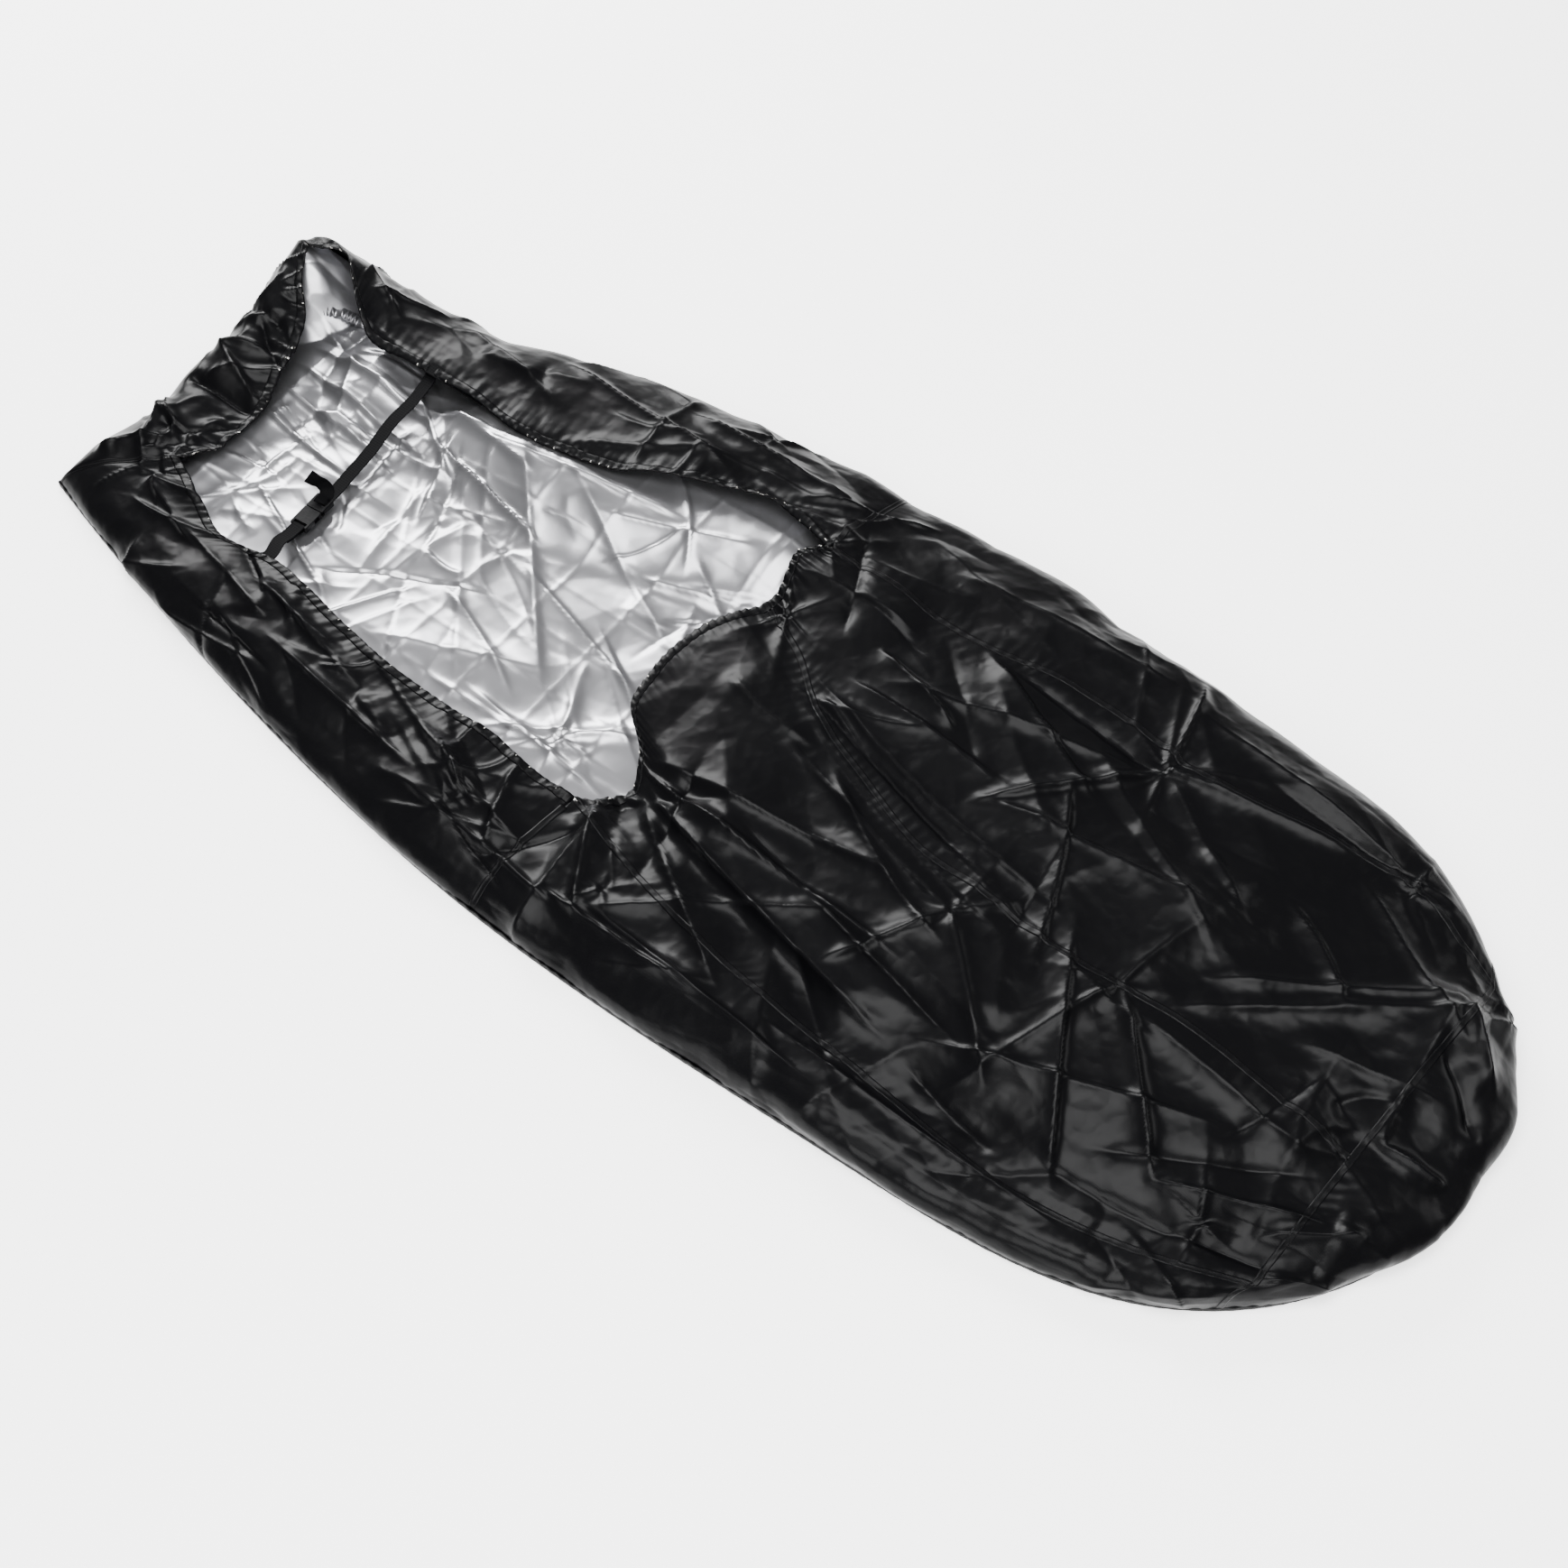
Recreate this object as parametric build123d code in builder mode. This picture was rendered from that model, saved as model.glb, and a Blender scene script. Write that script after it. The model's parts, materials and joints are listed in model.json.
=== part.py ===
"""Bivy sack lying open on the ground: coated-fabric panels, seams, elastic hem and a buckled strap.

Millimetres. +X points to the foot, +Y to the sleeper's left, +Z up. The origin is on the ground,
at the centre of the sack's plan. Fabric is modelled as FABRIC thick so that it has a real volume.
"""
import os
from math import cos, radians, sin

from build123d import *

os.makedirs("parts", exist_ok=True)

# Driving dimensions ---------------------------------------------------------------------------
SACK_LENGTH = 2112.0        # head corner to foot end
SACK_WIDTH = 872.0          # across the widest place, near the sleeper's elbows
SACK_HEIGHT = 70.0          # of the slack fabric above the ground
HEAD_RIGHT = 276.0          # half width at the head, right side
HEAD_LEFT = 215.0           # half width at the head corner, left side
FOOT_HALF_WIDTH = 336.0     # half width where the foot end starts to round
HEAD_HOLLOW = 34.0          # how far the head edge is drawn in between its corners
HEAD_HOLLOW_LEFT = 30.0     # where the hollow starts on the left
HEAD_HOLLOW_RIGHT = 130.0   # and on the right
CORNER_HEIGHT = 112.0       # of the left head corner, which stands up
SEAM_SETBACK = 6.0          # of that corner's two walls from the seam between them
FABRIC = 3.0                # panel thickness
SEAM_WIDTH = 12.0           # felled seam
SEAM_RISE = 1.5             # how far a seam stands proud of the panels
BINDING_HEIGHT = 9.0        # tape on the seam between floor and sides
BINDING_LIFT = 0.5          # of the tape above the ground
HEM_WIDTH = 14.0            # casing of the opening's elastic
HEM_THICKNESS = 6.0
HEM_WALL = 1.0
ELASTIC_WIDTH = 9.0
ELASTIC_THICKNESS = 2.0
OPENING_HEAD = 150.0        # head corner to the opening
OPENING_RIGHT = 240.0       # centre line to the right hem
OPENING_LEFT_HEAD = 148.0   # centre line to the left hem, at the head
OPENING_LEFT_FOOT = 258.0   # the same, at the cross seam
OPENING_TAPER = 170.0       # length over which the right hem comes in at the head
OPENING_NARROWS = 190.0     # from its foot end to where the left hem starts to come in
OPENING_NARROWED = 400.0    # and to where it has come in
OPENING_ROUND = 34.0        # corner radius
MITRE_BACK = 90.0           # from the opening's head to where the corner seams' lines meet
MITRE_RIGHT = 20.0          # how far right of the centre line that is
CROSS_SEAM_X = -95.0        # seam between the head sides and the foot sides
FOOT_SEAM_SHARE = 0.944     # seam of the foot end panel, as a share of the length from the head
TOP_SEAM_RIGHT = 262.0      # centre line to the right top seam, at the cross seam
TOP_SEAM_LEFT = 276.0       # the same on the left
TOP_SEAM_MID_X = 650.0      # where the top seams lie furthest apart
TOP_SEAM_MID_RIGHT = 338.0
TOP_SEAM_MID_LEFT = 298.0
TOP_SEAM_FOOT = 258.0       # centre line to both top seams, at the foot seam
CENTRE_SEAM_Y = -50.0       # the middle seam, which lies a little to the right
WEBBING_WIDTH = 20.0
WEBBING = 1.6               # webbing thickness
WEBBING_BEND = 1.9          # radius of its middle line round a bar
TAB_LENGTH = 30.0           # right strap anchor under the hem
LEFT_TAB_LENGTH = 100.0     # left one, which runs along the hem
BARTACK_WIDTH = 3.0
BARTACK_RISE = 0.8
STRAP_ANGLE = 6.5           # degrees from straight across the sack
BUCKLE_X = -714.0           # mouth of the buckle's socket
BUCKLE_Y = -100.0
BUCKLE_Z = 26.0             # its mid height above the ground
SOCKET_LENGTH = 27.0
SOCKET_WALL = 2.7
SOCKET_ROOF = 1.8
SLOT = 4.0                  # webbing slots, along the strap
BAR = 4.0                   # bars that the webbing goes round
PLUG_DEPTH = 18.0           # how far the arms reach into the socket
PLUG_BASE = 11.0            # solid part of the plug, outside the socket
PLUG_GAP = 0.4              # mouth of the socket to the plug's base
CAVITY_WIDTH = 22.6
CAVITY_HEIGHT = 5.6
ARM_WIDTH = 2.2
ARM_HEIGHT = 4.4
ARM_OFFSET = 9.7            # centre line to the middle of an arm
ARM_PIVOT = 3.0             # pivot of an arm, behind the mouth
ARM_BOSS = 1.6              # radius of its pivot boss
BARB_REACH = 13.5           # tip of the barb, from the mouth
BARB_RAMP = 0.15            # rise of the barb's rear face per millimetre
BARB_START = 6.5            # where that face starts, from the mouth
PRONG_WIDTH = 4.0
UNCLIP_TRAVEL = 22.0        # of the plug, until it is out of the socket
CLEAR = 0.4                 # running clearance between pieces that move past each other
TAIL_LENGTH = 62.0          # loose end of the strap
TAIL_RISE = 20.0

# Values that follow from them -------------------------------------------------------------------
HEAD_X = -SACK_LENGTH / 2
FOOT_X = SACK_LENGTH / 2
HALF = SACK_WIDTH / 2
FAR = SACK_LENGTH           # a distance well outside the sack
FOOT_SEAM_X = HEAD_X + FOOT_SEAM_SHARE * SACK_LENGTH
HEM_TOP = SACK_HEIGHT + (HEM_THICKNESS - FABRIC) / 2
HEM_BOTTOM = HEM_TOP - HEM_THICKNESS
SOCKET_WIDTH = CAVITY_WIDTH + 2 * SOCKET_WALL
SOCKET_HEIGHT = CAVITY_HEIGHT + 2 * SOCKET_ROOF
PLUG_BACK = PLUG_GAP + PLUG_BASE + 2 * (SLOT + BAR)


def station(share):
    """X of a place along the sack, from 0 at the head to 1 at the foot."""
    return HEAD_X + share * SACK_LENGTH


def outline(inset, z):
    """Plan of the sack at height z, moved inwards by inset all round."""
    right, left = [-HALF + inset, HALF - inset]
    narrow = HALF - 65 - inset      # a fifth of the way down
    shoulder = FOOT_HALF_WIDTH - 0.8 * inset
    foot_corner = 0.73 * FOOT_HALF_WIDTH - 0.7 * inset
    head = HEAD_X + inset
    with BuildSketch(Plane.XY.offset(z)) as plan:
        with BuildLine():
            sides = Spline(
                (head + 18, -HEAD_RIGHT + inset),
                (station(0.205), -narrow),
                (station(0.46), right),
                (station(0.72), 0.955 * right),
                (station(0.905) - 0.5 * inset, -shoulder),
                (station(0.956) - 0.7 * inset, -foot_corner),
                (FOOT_X - inset, 0),
                (station(0.956) - 0.7 * inset, foot_corner),
                (station(0.905) - 0.5 * inset, shoulder),
                (station(0.72), 0.945 * left),
                (station(0.46), left),
                (station(0.205), narrow - 32),
                (station(0.112), HEAD_LEFT + 75 - inset),
                (station(0.042) + 0.4 * inset, HEAD_LEFT + 64 - inset),
                (head, HEAD_LEFT - inset),
            )
            Polyline(
                sides @ 1,
                (head + HEAD_HOLLOW, HEAD_HOLLOW_LEFT),
                (head + HEAD_HOLLOW, -HEAD_HOLLOW_RIGHT),
                sides @ 0,
            )
        make_face()
    return plan.sketch


def shell_solid(grow):
    """The whole sack as one solid, grown outwards by grow and standing on the ground or the floor."""
    base = max(0.0, -grow)
    rounds = [(base, 0.0), (0.45 * SACK_HEIGHT, 0.0), (0.8 * SACK_HEIGHT, 0.14), (SACK_HEIGHT + grow, 0.5)]
    with BuildPart() as solid:
        loft([outline(share * SACK_HEIGHT - grow, z) for z, share in rounds], ruled=True)
    return solid.part


def opening_plan(margin, z):
    """Plan of the opening at height z, made larger by margin all round."""
    head = HEAD_X + OPENING_HEAD
    foot = CROSS_SEAM_X - SEAM_WIDTH / 2 - HEM_WIDTH - 3
    with BuildSketch(Plane.XY.offset(z)) as plan:
        with BuildLine():
            Polyline(
                (head, 0.72 * -OPENING_RIGHT),
                (head + OPENING_TAPER, -OPENING_RIGHT),
                (foot, -OPENING_RIGHT),
                (foot, OPENING_LEFT_FOOT),
                (foot - OPENING_NARROWS, OPENING_LEFT_FOOT - 12),
                (foot - OPENING_NARROWED, OPENING_LEFT_HEAD + 8),
                (head + 20, OPENING_LEFT_HEAD),
                close=True,
            )
        make_face()
        fillet(plan.vertices(), OPENING_ROUND)
        if margin:
            offset(amount=margin, kind=Kind.ARC)
    return plan.sketch


def region(*corners):
    """A flat area on the ground with the given corners."""
    with BuildSketch() as area:
        with BuildLine():
            Polyline(*corners, close=True)
        make_face()
    return area.sketch


def strip(*line, width):
    """A flat area of one width along a line through the given points."""
    points = [Vector(*p) for p in line]
    ways = [(b - a).normalized() for a, b in zip(points, points[1:])]
    turns = [(a + b).normalized() for a, b in zip(ways[:1] + ways, ways + ways[-1:])]
    sides = [Vector(-w.Y, w.X) * (width / 2) for w in turns]
    edge = [p + side for p, side in zip(points, sides)]
    other = [p - side for p, side in zip(points, sides)]
    return region(*[(p.X, p.Y) for p in edge + other[::-1]])


def tall(area):
    """An area as a column that is taller than the sack."""
    with BuildPart() as column:
        extrude(area, amount=2 * CORNER_HEIGHT)
    return column.part


def layer(low, high):
    """Everything between two heights."""
    with BuildPart() as slab:
        with BuildSketch(Plane.XY.offset(low)):
            Rectangle(2 * FAR, 2 * FAR)
        extrude(amount=high - low)
    return slab.part


def finish(part, name):
    """Names a piece and writes it."""
    part.label = name
    export_step(part, f"parts/{name}.step")


# Places that several pieces share ---------------------------------------------------------------
mitre = (HEAD_X + OPENING_HEAD + MITRE_BACK, -MITRE_RIGHT)
right_corner = (HEAD_X + 18, -HEAD_RIGHT)
left_corner = (HEAD_X, HEAD_LEFT)
right_beyond = (mitre[0] + 3 * (right_corner[0] - mitre[0]), mitre[1] + 3 * (right_corner[1] - mitre[1]))
left_beyond = (mitre[0] + 3 * (left_corner[0] - mitre[0]), mitre[1] + 3 * (left_corner[1] - mitre[1]))
right_cross, left_cross = (CROSS_SEAM_X, -TOP_SEAM_RIGHT), (CROSS_SEAM_X, TOP_SEAM_LEFT)
right_mid, left_mid = (TOP_SEAM_MID_X, -TOP_SEAM_MID_RIGHT), (TOP_SEAM_MID_X, TOP_SEAM_MID_LEFT)
right_foot, left_foot = (FOOT_SEAM_X, -TOP_SEAM_FOOT), (FOOT_SEAM_X, TOP_SEAM_FOOT)
right_top_line, left_top_line = (right_cross, right_mid, right_foot), (left_cross, left_mid, left_foot)
centre_ends = ((FOOT_SEAM_X, CENTRE_SEAM_Y), (CROSS_SEAM_X, CENTRE_SEAM_Y))

outer = shell_solid(0)
inner = shell_solid(-FABRIC)
skin_outer = shell_solid(SEAM_RISE)
hem_hole = tall(opening_plan(HEM_WIDTH, SACK_HEIGHT / 2))
above_floor = layer(FABRIC, 2 * CORNER_HEIGHT)

with BuildPart() as panels:
    add(outer)
    add(inner, mode=Mode.SUBTRACT)
    add(above_floor, mode=Mode.INTERSECT)
    add(hem_hole, mode=Mode.SUBTRACT)

with BuildPart() as skin:
    add(skin_outer)
    add(outer, mode=Mode.SUBTRACT)

# Floor ------------------------------------------------------------------------------------------
with BuildPart() as floor_panel:
    add(outer)
    add(layer(0, FABRIC), mode=Mode.INTERSECT)
finish(floor_panel.part, "floor_panel")

# Sides, ends and top ----------------------------------------------------------------------------
PANEL_AREAS = {
    "right_side_head_panel": region(right_beyond, mitre, (CROSS_SEAM_X, mitre[1]), (CROSS_SEAM_X, -FAR)),
    "right_side_foot_panel": region(*right_top_line, (FOOT_SEAM_X, -FAR), (CROSS_SEAM_X, -FAR)),
    "left_side_foot_panel": region(*left_top_line, (FOOT_SEAM_X, FAR), (CROSS_SEAM_X, FAR)),
    "foot_end_panel": region((FOOT_SEAM_X, -FAR), (FAR, -FAR), (FAR, FAR), (FOOT_SEAM_X, FAR)),
    "top_right_panel": region(*right_top_line, *centre_ends),
    "top_left_panel": region(*left_top_line, *centre_ends),
}
for name, area in PANEL_AREAS.items():
    with BuildPart() as panel:
        add(panels.part)
        add(tall(area), mode=Mode.INTERSECT)
    finish(panel.part, name)


def gusset(start, end, start_height, end_height):
    """A thin wall on the sack's rim, whose top edge slopes from start_height to end_height."""
    run = (Vector(*end) - Vector(*start)).length
    along = (Vector(*end) - Vector(*start)).normalized()
    wall_plane = Plane(origin=Vector(*start), x_dir=along, z_dir=along.cross(Vector(0, 0, 1)))
    base = SACK_HEIGHT - FABRIC / 2
    with BuildPart() as wall:
        with BuildSketch(wall_plane):
            with BuildLine():
                Polyline((0, base), (run, base), (run, end_height), (0, start_height), close=True)
            make_face()
        extrude(amount=FABRIC)
    return wall.part


# The standing corner: two walls that meet at a seam on the mitre line, over the flat of the rim
mitre_way = (Vector(*mitre) - Vector(*left_corner)).normalized()
corner_peak = Vector(*left_corner) + mitre_way * (0.78 * SACK_HEIGHT)
across_mitre = Vector(mitre_way.Y, -mitre_way.X) * SEAM_SETBACK
head_wall_start = corner_peak + across_mitre
side_wall_start = corner_peak - across_mitre
head_wall_end = (HEAD_X + HEAD_HOLLOW + 0.6 * SACK_HEIGHT, 40)
side_wall_end = (HEAD_X + 190, HEAD_LEFT + 64 - 0.65 * SACK_HEIGHT)

with BuildPart() as head_end_panel:
    add(panels.part)
    add(tall(region(right_beyond, mitre, left_beyond)), mode=Mode.INTERSECT)
    add(gusset(head_wall_end, (head_wall_start.X, head_wall_start.Y), SACK_HEIGHT, CORNER_HEIGHT))
finish(head_end_panel.part, "head_end_panel")

with BuildPart() as left_side_head_panel:
    add(panels.part)
    add(
        tall(region(left_beyond, mitre, (CROSS_SEAM_X, mitre[1]), (CROSS_SEAM_X, FAR))),
        mode=Mode.INTERSECT,
    )
    add(gusset((side_wall_start.X, side_wall_start.Y), side_wall_end, CORNER_HEIGHT, SACK_HEIGHT))
finish(left_side_head_panel.part, "left_side_head_panel")

# The seam where the standing corner's two walls meet
with BuildPart() as left_corner_seam:
    with BuildSketch(Plane.XY.offset(SACK_HEIGHT)):
        with Locations((corner_peak.X, corner_peak.Y)):
            Circle(2 * SEAM_RISE)
    extrude(amount=CORNER_HEIGHT - SACK_HEIGHT)
finish(left_corner_seam.part, "left_corner_seam")

# Seams on the outside ---------------------------------------------------------------------------
SEAM_LINES = {
    "right_cross_seam": ((CROSS_SEAM_X, -FAR), (CROSS_SEAM_X, -OPENING_RIGHT - HEM_WIDTH)),
    "left_cross_seam": ((CROSS_SEAM_X, OPENING_LEFT_FOOT + HEM_WIDTH), (CROSS_SEAM_X, FAR)),
    "right_top_seam": right_top_line,
    "left_top_seam": left_top_line,
    "centre_seam": centre_ends,
    "foot_end_seam": ((FOOT_SEAM_X, -FAR), (FOOT_SEAM_X, FAR)),
    "right_corner_seam": (mitre, right_beyond),
}
cross_zone = tall(strip((CROSS_SEAM_X, -FAR), (CROSS_SEAM_X, FAR), width=SEAM_WIDTH))
foot_zone = tall(strip((FOOT_SEAM_X, -FAR), (FOOT_SEAM_X, FAR), width=SEAM_WIDTH))
above_binding = layer(BINDING_HEIGHT, 2 * CORNER_HEIGHT)
for name, seam_line in SEAM_LINES.items():
    with BuildPart() as seam:
        add(skin.part)
        add(tall(strip(*seam_line, width=SEAM_WIDTH)), mode=Mode.INTERSECT)
        add(above_binding, mode=Mode.INTERSECT)
        add(hem_hole, mode=Mode.SUBTRACT)
        if name in ("right_top_seam", "left_top_seam", "centre_seam"):
            add(cross_zone, mode=Mode.SUBTRACT)
            add(foot_zone, mode=Mode.SUBTRACT)
    finish(seam.part, name)

# Tape round the seam between floor and sides
tape_zone = layer(BINDING_LIFT, BINDING_HEIGHT)
TAPES = {
    "right_floor_tape": region((HEAD_X + 60, -FAR), (FAR, -FAR), (FAR, 0), (HEAD_X + 60, 0)),
    "left_floor_tape": region((HEAD_X + 60, 0), (FAR, 0), (FAR, FAR), (HEAD_X + 60, FAR)),
    "head_floor_tape": region((-FAR, -FAR), (HEAD_X + 60, -FAR), (HEAD_X + 60, FAR), (-FAR, FAR)),
}
for name, area in TAPES.items():
    with BuildPart() as tape:
        add(skin.part)
        add(tall(area), mode=Mode.INTERSECT)
        add(tape_zone, mode=Mode.INTERSECT)
    finish(tape.part, name)

# Hem of the opening, with its elastic -------------------------------------------------------------
with BuildPart() as casing:
    extrude(opening_plan(HEM_WIDTH, HEM_BOTTOM), amount=HEM_THICKNESS)
    extrude(opening_plan(0, HEM_BOTTOM), amount=HEM_THICKNESS, mode=Mode.SUBTRACT)

with BuildPart() as channel:
    extrude(opening_plan(HEM_WIDTH - HEM_WALL, HEM_BOTTOM + HEM_WALL), amount=HEM_THICKNESS - 2 * HEM_WALL)
    extrude(opening_plan(HEM_WALL, HEM_BOTTOM + HEM_WALL), amount=HEM_THICKNESS - 2 * HEM_WALL,
            mode=Mode.SUBTRACT)

foot_hem_x = CROSS_SEAM_X - 60
HEM_AREAS = {
    "right_hem": region(right_beyond, mitre, (foot_hem_x, mitre[1]), (foot_hem_x, -FAR)),
    "left_hem": region(left_beyond, mitre, (foot_hem_x, mitre[1]), (foot_hem_x, FAR)),
    "head_hem": region(right_beyond, mitre, left_beyond),
    "foot_hem": region((foot_hem_x, -FAR), (FAR, -FAR), (FAR, FAR), (foot_hem_x, FAR)),
}
for name, area in HEM_AREAS.items():
    with BuildPart() as hem:
        add(casing.part)
        add(channel.part, mode=Mode.SUBTRACT)
        add(tall(area), mode=Mode.INTERSECT)
    finish(hem.part, name)

elastic_inset = (HEM_WIDTH - ELASTIC_WIDTH) / 2
elastic_bottom = HEM_TOP - HEM_THICKNESS / 2 - ELASTIC_THICKNESS / 2
with BuildPart() as hem_elastic:
    extrude(opening_plan(HEM_WIDTH - elastic_inset, elastic_bottom), amount=ELASTIC_THICKNESS)
    extrude(opening_plan(elastic_inset, elastic_bottom), amount=ELASTIC_THICKNESS, mode=Mode.SUBTRACT)
finish(hem_elastic.part, "hem_elastic")

# Buckle and strap, drawn along the strap ----------------------------------------------------------
# In plan, x runs from the plug into the socket; in the side view it does too, and y is height.
lean = radians(STRAP_ANGLE)
strap_way = Vector(sin(lean), -cos(lean), 0)
mouth = Vector(BUCKLE_X, BUCKLE_Y, BUCKLE_Z)
side_view = Plane(origin=(BUCKLE_X, BUCKLE_Y, 0), x_dir=strap_way, z_dir=strap_way.cross(Vector(0, 0, 1)))


def plan_view(height):
    """Plane of a plan of the buckle, height above its middle."""
    return Plane(origin=mouth + Vector(0, 0, height), x_dir=strap_way, z_dir=(0, 0, 1))


def webbing_along(points):
    """Webbing whose middle line follows points in the side view."""
    with BuildPart() as webbing:
        with BuildSketch(side_view):
            with BuildLine() as line:
                FilletPolyline(*points, radius=WEBBING_BEND)
            trace(line.line, line_width=WEBBING)
        extrude(amount=WEBBING_WIDTH / 2, both=True)
    return webbing.part


# Socket: a flat box open at its mouth and at both sides, with a bar for the short strap
socket_back = SOCKET_LENGTH + SLOT + BAR
with BuildPart() as buckle_socket:
    with BuildSketch(plan_view(-SOCKET_HEIGHT / 2)):
        with Locations((socket_back / 2, 0)):
            RectangleRounded(socket_back, SOCKET_WIDTH, 2.5)
    extrude(amount=SOCKET_HEIGHT)
    fillet(buckle_socket.edges().group_by(Axis.Z)[-1], 1.0)
    cavity_length = SOCKET_LENGTH - SOCKET_WALL
    with BuildSketch(plan_view(-CAVITY_HEIGHT / 2)):
        with Locations((cavity_length / 2, 0)):
            Rectangle(cavity_length, CAVITY_WIDTH)
    extrude(amount=CAVITY_HEIGHT, mode=Mode.SUBTRACT)
    window_length = BARB_REACH + 2.5 - BARB_START
    with BuildSketch(plan_view(-CAVITY_HEIGHT / 2)):
        with Locations((BARB_START + window_length / 2, 0)):
            Rectangle(window_length, 2 * SOCKET_WIDTH)
    extrude(amount=CAVITY_HEIGHT, mode=Mode.SUBTRACT)
    with BuildSketch(plan_view(-SOCKET_HEIGHT)):
        with Locations((SOCKET_LENGTH + SLOT / 2, 0)):
            Rectangle(SLOT, WEBBING_WIDTH + 2 * CLEAR)
    extrude(amount=2 * SOCKET_HEIGHT, mode=Mode.SUBTRACT)
    for face in (1, -1):
        with BuildSketch(plan_view(face * BAR / 2)):
            with Locations((SOCKET_LENGTH + SLOT, 0)):
                Rectangle(2 * SLOT, WEBBING_WIDTH + 2 * CLEAR)
        extrude(amount=face * SOCKET_HEIGHT, mode=Mode.SUBTRACT)
finish(buckle_socket.part, "buckle_socket")

# Plug: a base with two bars for the adjustable strap, and a prong that guides it into the socket
base_front, base_back = -PLUG_GAP, -PLUG_GAP - PLUG_BASE
with BuildPart() as buckle_plug:
    with BuildSketch(plan_view(-SOCKET_HEIGHT / 2)):
        with Locations(((base_front - PLUG_BACK) / 2, 0)):
            RectangleRounded(PLUG_BACK - PLUG_GAP, SOCKET_WIDTH, 2.5)
    extrude(amount=SOCKET_HEIGHT)
    fillet(buckle_plug.edges().group_by(Axis.Z)[-1], 1.0)
    with BuildSketch(plan_view(-ARM_HEIGHT / 2)):
        with Locations(((PLUG_DEPTH + base_front) / 2, 0)):
            Rectangle(PLUG_DEPTH - base_front, PRONG_WIDTH)
    extrude(amount=ARM_HEIGHT)
    with BuildSketch(plan_view(-SOCKET_HEIGHT)):
        with Locations(*[(base_back - SLOT / 2 - row * (SLOT + BAR), 0) for row in range(2)]):
            Rectangle(SLOT, WEBBING_WIDTH + 2 * CLEAR)
    extrude(amount=2 * SOCKET_HEIGHT, mode=Mode.SUBTRACT)
    for face in (1, -1):
        with BuildSketch(plan_view(face * BAR / 2)):
            with Locations((base_back - 2 * SLOT, 0)):
                Rectangle(4 * SLOT, WEBBING_WIDTH + 2 * CLEAR)
        extrude(amount=face * SOCKET_HEIGHT, mode=Mode.SUBTRACT)
    pocket_width = ARM_WIDTH + 2 * ARM_BOSS + 4
    with BuildSketch(plan_view(-ARM_HEIGHT / 2 - CLEAR)):
        with Locations(*[(-(ARM_PIVOT + ARM_BOSS + CLEAR) / 2, side * ARM_OFFSET) for side in (-1, 1)]):
            Rectangle(ARM_PIVOT + ARM_BOSS + CLEAR, pocket_width)
    extrude(amount=ARM_HEIGHT + 2 * CLEAR, mode=Mode.SUBTRACT)
finish(buckle_plug.part, "buckle_plug")

# Arms, each with a pivot boss at its root and a barb that fills the socket's window
barb_out = BARB_RAMP * (BARB_REACH - 1 - BARB_START)
cavity_edge = CAVITY_WIDTH / 2 - CLEAR
for name, side in (("buckle_left_arm", 1), ("buckle_right_arm", -1)):
    with BuildPart() as arm:
        with BuildSketch(plan_view(-ARM_HEIGHT / 2)):
            with BuildLine():
                Polyline(
                    (-ARM_PIVOT, side * (ARM_OFFSET - ARM_WIDTH / 2)),
                    (PLUG_DEPTH, side * (ARM_OFFSET - ARM_WIDTH / 2)),
                    (BARB_REACH, side * (cavity_edge + barb_out)),
                    (BARB_REACH - 1, side * (cavity_edge + barb_out)),
                    (BARB_START, side * cavity_edge),
                    (-ARM_PIVOT, side * (ARM_OFFSET + ARM_WIDTH / 2)),
                    close=True,
                )
            make_face()
            with Locations((-ARM_PIVOT, side * ARM_OFFSET)):
                Circle(ARM_BOSS)
        extrude(amount=ARM_HEIGHT)
    finish(arm.part, name)

# Webbing tabs sewn to the underside of the hem, one on each side
tab_bottom = HEM_BOTTOM - WEBBING
strap_under_tab = tab_bottom - WEBBING / 2
right_hem_middle = -OPENING_RIGHT - HEM_WIDTH / 2
left_hem_middle = OPENING_LEFT_HEAD + 0.8 * HEM_WIDTH
right_end = (BUCKLE_Y - right_hem_middle) / cos(lean)
left_end = (BUCKLE_Y - left_hem_middle) / cos(lean)
right_tab_x = BUCKLE_X + right_end * sin(lean)
left_tab_x = BUCKLE_X + left_end * sin(lean)

with BuildPart() as right_strap_tab:
    with BuildSketch(Plane.XY.offset(tab_bottom)):
        with Locations((right_tab_x, right_hem_middle)):
            Rectangle(TAB_LENGTH, WEBBING_WIDTH)
    extrude(amount=WEBBING)
finish(right_strap_tab.part, "right_strap_tab")

with BuildPart() as left_strap_tab:
    with BuildSketch(Plane.XY.offset(tab_bottom)):
        with Locations((left_tab_x + LEFT_TAB_LENGTH / 2 - WEBBING_WIDTH / 2, left_hem_middle)):
            Rectangle(LEFT_TAB_LENGTH, WEBBING_WIDTH)
    extrude(amount=WEBBING)
finish(left_strap_tab.part, "left_strap_tab")

# Short strap: folded round the socket's bar, both plies side by side, up to the right tab
loop = BAR / 2 + CLEAR + WEBBING / 2
socket_bar = SOCKET_LENGTH + SLOT + BAR / 2
ply = WEBBING + CLEAR
short_strap = webbing_along([
    (right_end + WEBBING_WIDTH / 3, strap_under_tab),
    (right_end - WEBBING_WIDTH / 2, strap_under_tab),
    (socket_bar + 30, BUCKLE_Z + loop + 4),
    (socket_bar + 12, BUCKLE_Z + loop),
    (socket_bar - loop, BUCKLE_Z + loop),
    (socket_bar - loop, BUCKLE_Z - loop),
    (socket_bar + loop, BUCKLE_Z - loop),
    (socket_bar + 14, BUCKLE_Z + loop - ply),
    (socket_bar + 30, BUCKLE_Z + loop + 4 - 1.1 * ply),
])
finish(short_strap, "short_strap")

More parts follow.
